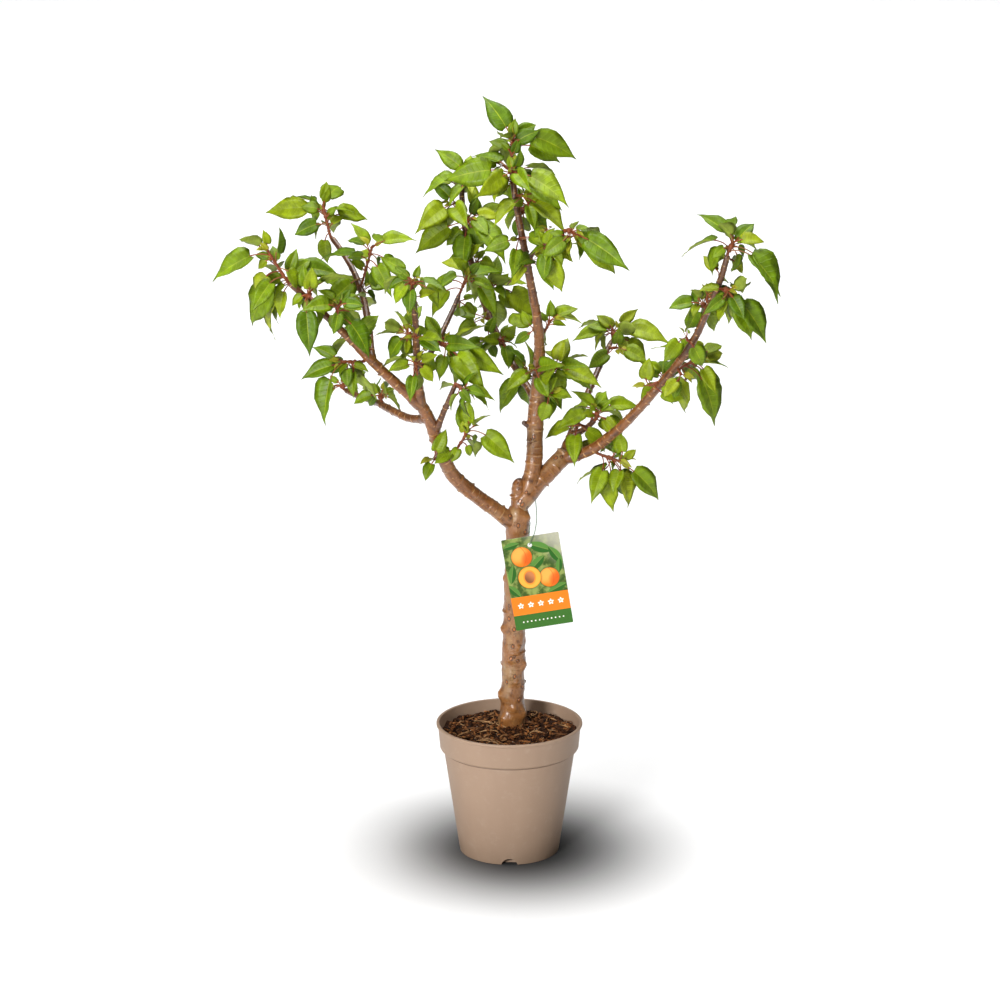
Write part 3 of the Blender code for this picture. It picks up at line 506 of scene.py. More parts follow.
# %% Chips, grains and fibres strewn on it
# Count, longest side, width and thickness in metres, with the spread of each from half to full
CHIPS = 1050
CHIP_SIZE = (0.0170, 0.0068, 0.0028)
PERLITE = 70
PERLITE_SIZE = (0.0016, 0.0014, 0.0012)
EMBERS = 60
EMBER_SIZE = (0.0030, 0.0016, 0.0010)
FIBRES = 230
FIBRE_LENGTH = (0.012, 0.036)
FIBRE_RADIUS = (0.00030, 0.00105)
FIBRE_SIDES = 4
FIBRE_STEPS = 9
LOT = 40


def strew(luck, margin):
    """A random place on the ground, clear of the wall."""
    reach = (SOIL_RADIUS - margin) * math.sqrt(luck.random())
    turn = luck.uniform(0, math.tau)
    x, y = reach * math.cos(turn), reach * math.sin(turn)
    return Vector((x, y, soil_height(x, y)))


def lots_of(count):
    """Sizes of the lots that a count is made in."""
    return [min(LOT, count - start) for start in range(0, count, LOT)]


def scatter_lot(luck, count, size, shades, lift):
    """Crumpled lumps of a few shades, each turned at random and laid on the ground."""
    bm = bmesh.new()
    for _ in range(count):
        scale = [side * luck.uniform(0.45, 1.0) for side in size]
        turn = Euler((luck.gauss(0, 0.35), luck.gauss(0, 0.35), luck.uniform(0, math.tau)))
        place = strew(luck, size[0] / 2) + Vector((0, 0, lift * luck.uniform(-0.2, 1.0)))
        lump = bmesh.ops.create_icosphere(bm, subdivisions=1, radius=0.5)["verts"]
        for vertex in lump:
            vertex.co = Vector((vertex.co.x * scale[0], vertex.co.y * scale[1], vertex.co.z * scale[2]))
            vertex.co *= luck.uniform(0.72, 1.2)
        shade = luck.randrange(shades)
        for face in {face for vertex in lump for face in vertex.link_faces}:
            face.material_index = shade
        bmesh.ops.transform(bm, verts=lump, matrix=Matrix.Translation(place) @ turn.to_matrix().to_4x4())
    return bm


def scatter_chunks(luck, count, size, shades, lift):
    return gather(scatter_lot(luck, lot, size, shades, lift) for lot in lots_of(count))


def wrap(bm, places, radius_at, sides, closed=True):
    """Rolls a grid into a tube along places; radius_at gives the skin's radius at a share and a turn.

    Gives back the tube's faces. Where the mesh has them, "grown" keeps each point's place as if the tube were
    straight, and "girth" its radius.
    """
    grown = bm.verts.layers.float_vector.get("grown")
    girth = bm.verts.layers.float.get("girth")
    sheet = bmesh.ops.create_grid(bm, x_segments=sides, y_segments=len(places) - 1, size=1)["verts"]
    faces = {face for vertex in sheet for face in vertex.link_faces}
    frames = []
    side = (places[1] - places[0]).orthogonal()
    run = 0.0
    for index, place in enumerate(places):
        ahead = (places[min(index + 1, len(places) - 1)] - places[max(index - 1, 0)]).normalized()
        side = (side - ahead * side.dot(ahead)).normalized()
        run += (place - places[max(index - 1, 0)]).length
        frames.append((place, side, ahead.cross(side), run))
    for vertex in sheet:
        index = round((vertex.co.y + 1) / 2 * (len(places) - 1))
        turn = (vertex.co.x + 1) * math.pi
        place, first, second, run = frames[index]
        reach = radius_at(index / (len(places) - 1), turn)
        vertex.co = place + (first * math.cos(turn) + second * math.sin(turn)) * reach
        if grown:
            vertex[grown] = (reach * math.cos(turn), reach * math.sin(turn), run)
            vertex[girth] = reach
    bmesh.ops.remove_doubles(bm, verts=sheet, dist=0.000002)
    faces = [face for face in faces if face.is_valid]
    if closed:
        rims = {edge for face in faces for edge in face.edges if edge.is_boundary}
        faces += bmesh.ops.holes_fill(bm, edges=list(rims), sides=0)["faces"]
    return faces


def curl(luck, place, length):
    """A curled line that rises from the ground and comes back to it."""
    turn = luck.uniform(0, math.tau)
    bend = luck.gauss(0, 2.2)
    points = [place]
    for index in range(FIBRE_STEPS):
        turn += bend / FIBRE_STEPS
        rise = math.cos(math.pi * (index + 0.5) / FIBRE_STEPS) * luck.uniform(0.1, 0.5)
        points.append(points[-1] + Vector((math.cos(turn), math.sin(turn), rise)) * (length / FIBRE_STEPS))
    return points


def fibre_lot(luck, count):
    bm = bmesh.new()
    for _ in range(count):
        length = luck.uniform(*FIBRE_LENGTH)
        points = curl(luck, strew(luck, 0.006), length)
        if max(point.xy.length for point in points) > SOIL_RADIUS - 0.002:
            continue
        thick = luck.uniform(*FIBRE_RADIUS)
        faces = wrap(bm, points, lambda share, turn: thick * (0.35 + math.sin(math.pi * share)), FIBRE_SIDES)
        shade = luck.randrange(3)
        for face in faces:
            face.material_index = shade
    bmesh.ops.recalc_face_normals(bm, faces=bm.faces)
    return bm


def scatter_fibres(luck):
    return gather(fibre_lot(luck, lot) for lot in lots_of(FIBRES))


def plain_finish(name, colour, roughness, scale=300):
    """A natural finish of one colour, clouded lighter and darker, with a fine grain."""
    finish = Finish(name)
    cloud = finish.cloud(finish.place(), scale, 4, 0.6)
    darker = tuple(0.55 * part for part in colour)
    finish.set(Base_Color=finish.mix(cloud.step(0.3, 0.7), darker, colour), Roughness=roughness,
               Specular_IOR_Level=0.3)
    finish.bump(cloud, 0.0003)
    return finish


luck = random.Random("potting mix")
add_piece("bark_chips", scatter_chunks(luck, CHIPS, CHIP_SIZE, 3, 0.0030), [
    soil_finish("dark_chip", (0.030, 0.009, 0.002), (0.150, 0.048, 0.012), 0.4),
    soil_finish("brown_chip", (0.085, 0.027, 0.007), (0.430, 0.170, 0.052), 0.3),
    soil_finish("black_chip", (0.009, 0.003, 0.001), (0.040, 0.013, 0.004), 0.5)])
add_piece("perlite", scatter_chunks(luck, PERLITE, PERLITE_SIZE, 1, 0.0040),
          [plain_finish("white_grain", (0.82, 0.76, 0.66), 0.8)])
add_piece("fresh_chips", scatter_chunks(luck, EMBERS, EMBER_SIZE, 2, 0.0042), [
    plain_finish("orange_chip", (0.52, 0.17, 0.05), 0.7),
    plain_finish("tan_chip", (0.50, 0.28, 0.15), 0.7)])
add_piece("fibres", scatter_fibres(luck), [
    plain_finish("tan_fibre", (0.36, 0.170, 0.062), 0.75),
    plain_finish("brown_fibre", (0.20, 0.080, 0.026), 0.75),
    plain_finish("pale_fibre", (0.52, 0.28, 0.12), 0.7)])

# %% [markdown]
# The tree's skeleton is planned before anything is skinned. Each limb leaves its parent a part of the way up it
# and follows a few stated leans from upright to the right and turns back from the front, in degrees. One
# could draw each limb as a curve by hand, but a named list and a short rule keep the dressing on the same
# lines as the solid model's limbs.

# %% The limbs' planned sizes
GAP = 0.0003
TRUNK_LENGTH = 0.352
TRUNK_LEANS = (1, 2)
TRUNK_BACKS = (-3, -4)
TRUNK_RADII = (0.0205, 0.0184, 0.0174, 0.0172, 0.0172, 0.0170, 0.0168, 0.0168, 0.0170, 0.0174, 0.0150)
STUB_FOOT = 0.93
STUB_STEP = 0.010
STUB_LENGTH = 0.062
STUB_LEAN = 2
STUB_RADII = (0.0120, 0.0118, 0.0116, 0.0112, 0.0085)

# A limb leaves its parent a part of the way up it. It has the stated leans from upright to the right
# and turns back from the front, in degrees, at equal steps from its foot to its tip.
Limb = namedtuple("Limb", "name parent at length leans backs radii")
LIMBS = (
    Limb("left_bough", "trunk", 0.90, 0.275, (-50, -50, -45, -20, -15, -30), (-15, -20, -20),
         (0.0122, 0.0108, 0.0104, 0.0096, 0.0084)),
    Limb("left_outer", "left_bough", 0.99, 0.285, (-45, -40, -45), (-20, -15),
         (0.0084, 0.0070, 0.0052, 0.0042)),
    Limb("left_upper", "left_outer", 0.38, 0.230, (-5, -10, -20, -35, -45), (45, 50, 35),
         (0.0056, 0.0048, 0.0040)),
    Limb("left_vertical", "left_bough", 1.0, 0.205, (-5, 0, -5), (-20, -25),
         (0.0076, 0.0056, 0.0046, 0.0037)),
    Limb("left_vertical_right", "left_vertical", 0.27, 0.170, (50, 35, 25), (60, 55, 40),
         (0.0046, 0.0040, 0.0032)),
    Limb("left_low", "left_bough", 0.90, 0.245, (-125, -85, -90, -100, -80), (45, 65, 55),
         (0.0064, 0.0056, 0.0050, 0.0040)),
    Limb("left_stub", "left_bough", 0.79, 0.100, (20, 20), (-30, -25),
         (0.0048, 0.0042, 0.0036)),
    Limb("right_bough", "trunk", 0.99, 0.107, (40, 50), (5, 25),
         (0.0135, 0.0133, 0.0136, 0.0130)),
    Limb("leader", "right_bough", 0.16, 0.525, (20, 0, 5, 0, -10, -10, -10, -5),
         (5, 5, -10, -20, -15, 0, 10),
         (0.0128, 0.0124, 0.0114, 0.0080, 0.0066, 0.0056, 0.0048, 0.0042)),
    Limb("leader_left", "leader", 0.28, 0.370, (-45, -30, -15, 0), (50, 35, 20, 0),
         (0.0054, 0.0050, 0.0046, 0.0040)),
    Limb("leader_twig", "leader", 0.72, 0.130, (25, 55), (-45, -50),
         (0.0036, 0.0032, 0.0028)),
    Limb("right_upper", "right_bough", 0.93, 0.230, (25, 30, 30), (50, 50, 40),
         (0.0072, 0.0058, 0.0046, 0.0036)),
    Limb("right_twig", "right_upper", 0.18, 0.050, (65, 35), (-25, -25),
         (0.0046, 0.0038)),
    Limb("right_lower", "right_bough", 0.91, 0.460, (80, 50, 40, 35, 35, 30, 20, 20, 10), (-25, -25, -10),
         (0.0084, 0.0074, 0.0066, 0.0058, 0.0050, 0.0040)),
)
LIMB_STEP = 0.026

print("planned:", len(LIMBS), "limbs on one trunk")

# %% Where each limb runs
def between(values, share):
    """The value at a share of the way along equal steps."""
    spot = min(max(share, 0.0), 1.0) * (len(values) - 1)
    index = min(int(spot), len(values) - 2)
    part = spot - index
    return values[index] * (1 - part) + values[index + 1] * part


def heading_of(lean, back):
    lean, back = math.radians(lean), math.radians(back)
    return Vector((math.sin(lean) * math.cos(back), math.sin(back), math.cos(lean) * math.cos(back)))


def route_of(start, length, leans, backs, step=LIMB_STEP):
    """Points along a limb, whose heading turns evenly from each stated one to the next."""
    count = max(3, round(length / step))
    points = [Vector(start)]
    for index in range(count):
        share = (index + 0.5) / count
        ahead = heading_of(between(leans, share), between(backs, share))
        points.append(points[-1] + ahead * (length / count))
    return points


def along(points, share):
    """The place and the heading at a share of the way along a route."""
    spot = min(max(share, 0.0), 1.0) * (len(points) - 1)
    index = min(int(spot), len(points) - 2)
    leg = points[index + 1] - points[index]
    return points[index] + leg * (spot - index), leg.normalized()


def plan_limbs():
    """Each limb's route and radii by name, the trunk's first."""
    plans = {"trunk": (route_of(TRUNK_FOOT, TRUNK_LENGTH, TRUNK_LEANS, TRUNK_BACKS), TRUNK_RADII)}
    for limb in LIMBS:
        start, _ = along(plans[limb.parent][0], limb.at)
        plans[limb.name] = (route_of(start, limb.length, limb.leans, limb.backs), limb.radii)
    return plans


def stub_plan(plans):
    """The pruned stub that the trunk ends in."""
    start, _ = along(plans["trunk"][0], STUB_FOOT)
    return route_of(start, STUB_LENGTH, (STUB_LEAN, STUB_LEAN), (0, 0), STUB_STEP), STUB_RADII

# %% [markdown]
# An apricot's young bark is smooth, reddish and polished. What breaks it is growth: a ring of old bud scales
# every centimetre or so with a small knob on one side, warty pores, healed scars and a swollen collar where a
# limb leaves its parent. Sculpting would do it once; here a rule swells each limb's skin as the tube is rolled,
# so every limb gets its own, and the finish reads where the swellings are from the mesh.

# %% A limb's line, made smooth
LINE_STEP = 0.0013


def smooth_line(points, step=LINE_STEP):
    """A curve through the planned points in short steps, each leg bent by its neighbours."""
    ends = [points[0] * 2 - points[1], *points, points[-1] * 2 - points[-2]]
    line = []
    for before, start, end, after in zip(ends, ends[1:], ends[2:], ends[3:]):
        count = max(1, round((end - start).length / step))
        for part in range(count):
            t = part / count
            line.append(0.5 * (2 * start + (end - before) * t
                               + (2 * before - 5 * start + 4 * end - after) * t ** 2
                               + (3 * start - before - 3 * end + after) * t ** 3))
    return line + [points[-1]]


plans = plan_limbs()
print("the leader's line has", len(smooth_line(plans["leader"][0])), "places")

# %% How a limb's skin swells
NODE_SPACING = (0.009, 0.016)
TRUNK_SPACING = (0.020, 0.042)
NODE_HALF = 0.0011
NODE_RING = 0.075
TRUNK_RING = 0.022
NODE_KNOB = 0.30
RING_PATCH = 1.8
PATCH_SCALE = 1.7
GOLDEN_TURN = math.radians(137.5)
COLLAR_LIFT = 0.0017
COLLAR_REACH = 0.0065
COLLAR_STAIN = 0.0028
UNEVEN = 0.10
FINER = 2.7
FINER_SHARE = 0.55
UNEVEN_SCALE = 45
TIP_ROUND = 0.0035

Node = namedtuple("Node", "at turn size")


def nodes_along(name, foot, length, spacing=NODE_SPACING):
    """Old bud rings up a limb, each with a knob a golden turn on from the last."""
    luck = random.Random(f"{name} nodes")
    spot = foot + luck.uniform(*spacing)
    turn = luck.uniform(0, math.tau)
    found = []
    while spot < length - TIP_ROUND:
        found.append(Node(spot, turn, luck.uniform(0.35, 1.0)))
        spot += luck.uniform(*spacing)
        turn += GOLDEN_TURN + luck.uniform(-0.6, 0.6)
    return found


def round_skin(turn, run):
    """A place on a straightened limb of even girth, from which the unevenness is read."""
    return Vector((math.cos(turn), math.sin(turn), run * UNEVEN_SCALE))


def ring_at(turn, run, found):
    """How strongly an old ring shows: rings go only part of the way round."""
    patch = 0.5 + RING_PATCH * noise.noise(round_skin(turn, run) * PATCH_SCALE + Vector((7, 3, 0)))
    crest = max((math.exp(-((run - node.at) / NODE_HALF) ** 2) for node in found), default=0.0)
    return crest * min(1.0, max(0.0, patch))


def skin_of(radii, foot, length, found, blunt=TIP_ROUND, raised=NODE_RING):
    """The radius of a limb's skin at a share of its length and a turn round it."""
    def radius_at(share, turn):
        run = share * length
        swell = COLLAR_LIFT / between(radii, share) * math.exp(-max(run - foot, 0) / COLLAR_REACH)
        lumps = round_skin(turn, run)
        swell += UNEVEN * (noise.noise(lumps) + FINER_SHARE * noise.noise(lumps * FINER))
        near = [node for node in found if abs(run - node.at) < 3 * NODE_HALF]
        swell += raised * ring_at(turn, run, near)
        for node in near:
            facing = math.exp(5 * (math.cos(turn - node.turn) - 1))
            swell += NODE_KNOB * node.size * facing * math.exp(-((run - node.at) / NODE_HALF) ** 2)
        tip = max(0.0, 1 - (length - run) / blunt)
        return between(radii, share) * (1 + swell) * math.sqrt(1 - 0.9 * tip * tip)
    return radius_at


# %% All limbs, rolled into one skin
TRUNK_TURNS = 48
BOUGH_TURNS = 24
TWIG_TURNS = 14
TRUNK_SUNK = 0.006
KNOB_SUNK = 0.35
TRUNK_ROUND = 0.016
STUB_ROUND = 0.010

# A knob on the trunk: how far up it, round it from the front, and its radius
Knob = namedtuple("Knob", "at turn radius")
KNOBS = (
    Knob(0.13, -74, 0.0100),
    Knob(0.05, 55, 0.0110),
    Knob(0.03, -40, 0.0100),
    Knob(0.08, 5, 0.0070),
    Knob(0.20, 20, 0.0040),
    Knob(0.27, 62, 0.0092),
    Knob(0.30, -20, 0.0035),
    Knob(0.36, 25, 0.0045),
    Knob(0.43, -74, 0.0075),
    Knob(0.56, 70, 0.0045),
    Knob(0.66, -80, 0.0060),
    Knob(0.94, 58, 0.0080),
)

# Healed lumps on the pruned stub: how far up it, how far round and how big
STUB_SCARS = (Node(0.036, 2.6, 0.9), Node(0.046, 5.2, 1.0), Node(0.054, 3.6, 0.8), Node(0.058, 0.9, 1.0))

# Finer wood that the solids leave out: a dead twig and a pruned spur
TWIGS = (
    Limb("dead_twig", "leader", 0.71, 0.042, (-125, -140), (-20, -10), (0.0014, 0.0010)),
    Limb("pruned_spur", "leader", 0.20, 0.022, (-70, -55), (-10, -10), (0.0040, 0.0032)),
)


def mark_rings(faces, grown, ring, found):
    """Keeps where a limb's rings are, so the finish can lighten them."""
    for vertex in {vertex for face in faces for vertex in face.verts}:
        first, second, run = vertex[grown]
        near = [node for node in found if abs(run - node.at) < 3 * NODE_HALF]
        vertex[ring] = ring_at(math.atan2(second, first), run, near)


def raise_knobs(bm, faces, scar):
    """Healed knobs that swell the trunk's sides, each with a dimple in its middle."""
    axes = plans["trunk"][0]
    for knob in KNOBS:
        axis, ahead = along(axes, knob.at)
        side = Matrix.Rotation(math.radians(knob.turn), 3, ahead) @ Vector((0, -1, 0))
        centre = axis + side * between(TRUNK_RADII, knob.at)
        for vertex in {vertex for face in faces for vertex in face.verts}:
            away = (vertex.co - centre).length / knob.radius
            if away < 2.5:
                lift = math.exp(-1.6 * away * away) - 0.30 * math.exp(-14 * away * away)
                vertex.co += side * (knob.radius * (1 - KNOB_SUNK) * lift)
                vertex[scar] = max(vertex[scar], math.exp(-2.2 * away * away))


def build_bark():
    """Trunk, stub, boughs and twigs, and the places where buds sit."""
    bm = bmesh.new()
    bm.verts.layers.float_vector.new("grown")
    for layer in ("girth", "ring", "scar", "collar"):
        bm.verts.layers.float.new(layer)
    ring, scar, collar = (bm.verts.layers.float[layer] for layer in ("ring", "scar", "collar"))
    grown = bm.verts.layers.float_vector["grown"]
    seats = []
    foot_of_trunk = [plans["trunk"][0][0] - Vector((0, 0, TRUNK_SUNK)), *plans["trunk"][0]]
    line = smooth_line(foot_of_trunk)
    length = LINE_STEP * (len(line) - 1)
    found = nodes_along("trunk", 0.03, length, TRUNK_SPACING)
    faces = wrap(bm, line, skin_of(TRUNK_RADII, -1, length, found, TRUNK_ROUND, TRUNK_RING), TRUNK_TURNS)
    mark_rings(faces, grown, ring, found)
    raise_knobs(bm, faces, scar)
    stub, stub_radii = stub_plan(plans)
    line = smooth_line(stub)
    length = LINE_STEP * (len(line) - 1)
    wrap(bm, line, skin_of(stub_radii, -1, length, STUB_SCARS, STUB_ROUND), BOUGH_TURNS * 2)
    for limb in (*LIMBS, *TWIGS):
        if limb.name in plans:
            points, radii = plans[limb.name]
        else:
            points = route_of(along(plans[limb.parent][0], limb.at)[0], limb.length, limb.leans, limb.backs)
            radii = limb.radii
        parent_points, parent_radii = plans[limb.parent]
        ahead = (points[1] - points[0]).normalized()
        spread = ahead.angle(along(parent_points, limb.at)[1])
        foot = between(parent_radii, limb.at) / max(math.sin(spread), 0.5)
        line = smooth_line(points)
        length = LINE_STEP * (len(line) - 1)
        found = nodes_along(limb.name, foot, length)
        sides = BOUGH_TURNS if limb in LIMBS else TWIG_TURNS
        faces = wrap(bm, line, skin_of(radii, foot, length, found), sides)
        mark_rings(faces, grown, ring, found)
        for vertex in {vertex for face in faces for vertex in face.verts}:
            vertex[collar] = math.exp(-((vertex[grown].z - foot) / COLLAR_STAIN) ** 2)
        if limb in LIMBS:
            seats += [(limb.name, node, line[round(node.at / LINE_STEP)], node.at / length) for node in found]
    bmesh.ops.recalc_face_normals(bm, faces=bm.faces)
    return bm, seats


# %% [markdown]
# The bark's colour follows the wood's age: the trunk is warm grey brown with a worn sheen, boughs are chestnut
# and thin ends are dark and red. Pale rings go part of the way round, so the patterns read the straightened
# places that the tubes kept: stretched noise there runs round a limb, however it bends. Painted pictures would
# show a seam up each limb.

# %% The bark's finish
BARK_THIN = (0.075, 0.024, 0.008)
BARK_CHESTNUT = (0.218, 0.074, 0.014)
BARK_TRUNK = (0.262, 0.104, 0.027)
BARK_GREY = (0.345, 0.208, 0.092)
BARK_DARK = (0.055, 0.017, 0.006)
BARK_PALE = (0.530, 0.285, 0.100)
BARK_PORE = (0.430, 0.140, 0.030)
BARK_SCAR = (0.400, 0.165, 0.045)
BARK_SHINE = 0.48
BARK_COAT = 0.42
BARK_COAT_ROUGHNESS = 0.20
WART_SPREAD = 56


def bark_finish():
    finish = Finish("apricot_bark")
    grown = finish.attribute("grown", 1)
    girth = finish.attribute("girth", 2)
    ring = finish.attribute("ring", 2)
    scar = finish.attribute("scar", 2)
    collar = finish.attribute("collar", 2)
    along_grain = finish.cloud(finish.spread(grown, (150, 150, 26)), 1, 4, 0.6)
    patches = finish.cloud(finish.spread(grown, (40, 40, 22)), 1, 3)
    rings = finish.cloud(finish.spread(grown, (26, 26, 520)), 1, 3, 0.6).step(0.58, 0.68)
    rings = rings * finish.cloud(finish.spread(grown, (60, 60, 70)), 1, 2).step(0.46, 0.60)
    pores = 1 - finish.cells(finish.spread(grown, (190, 190, 330)), 1).step(0.10, 0.20)
    pores = pores * finish.cloud(finish.spread(grown, (90, 90, 90)), 1, 2).step(0.50, 0.58)
    wart = finish.cells(finish.spread(grown, (WART_SPREAD * 1.4, WART_SPREAD * 1.4, WART_SPREAD)), 1)
    rim = wart.step(0.28, 0.20) * girth.step(0.0080, 0.0130)
    wart = wart.step(0.20, 0.11) * girth.step(0.0080, 0.0130)
    colour = finish.mix(girth.step(0.0030, 0.0075), BARK_THIN, BARK_CHESTNUT)
    colour = finish.mix(girth.step(0.0080, 0.0150), colour, BARK_TRUNK)
    colour = finish.mix(along_grain.step(0.54, 0.34) * girth.step(0.0150, 0.0070) * 0.8, colour, BARK_DARK)
    worn = finish.cloud(finish.spread(grown, (120, 120, 80)), 1, 4, 0.7)
    colour = finish.mix(worn.step(0.50, 0.34) * 0.55, colour, BARK_DARK)
    colour = finish.mix(patches.step(0.46, 0.66) * girth.step(0.0060, 0.0150) * 0.75, colour, BARK_GREY)
    colour = finish.mix(worn.step(0.58, 0.74) * 0.5, colour, BARK_PALE)
    colour = finish.mix(rings * 0.25, colour, BARK_PALE)
    colour = finish.mix(ring.step(0.25, 0.75) * girth.step(0.0165, 0.0110) * 0.75, colour, BARK_PALE)
    colour = finish.mix(pores * 0.8, colour, BARK_PORE)
    colour = finish.mix(rim * 0.75, colour, BARK_DARK)
    colour = finish.mix(wart, colour, BARK_PORE)
    colour = finish.mix(scar * 0.65, colour, BARK_SCAR)
    colour = finish.mix(collar * along_grain.step(0.35, 0.60) * 0.85, colour, BARK_DARK)
    finish.set(Base_Color=colour, Roughness=0.24 + 0.22 * patches + 0.15 * pores, Specular_IOR_Level=BARK_SHINE,
               Coat_Weight=BARK_COAT, Coat_Roughness=BARK_COAT_ROUGHNESS)
    finish.bump(0.6 * rings + 0.8 * pores + 0.9 * along_grain + 1.2 * worn + 1.6 * wart - 0.5 * rim, 0.0010)
    return finish


bark_mesh, seats = build_bark()
add_piece("bark_skin", bark_mesh, [bark_finish()], limb_nodes)
print("buds can sit on", len(seats), "old rings")

# %% [markdown]
# Leaves stand in masses on short shoots. Each shoot leaves its limb at a heading, counted anticlockwise from the
# right as the front shows it, and turns back. A spray's pairs are a heading and a length of each blade that the
# front shows, from the shoot's foot to its tip, and some hidden blades face the back. A sculptor would
# scatter leaves at random; a list keeps every mass where the tree has it.

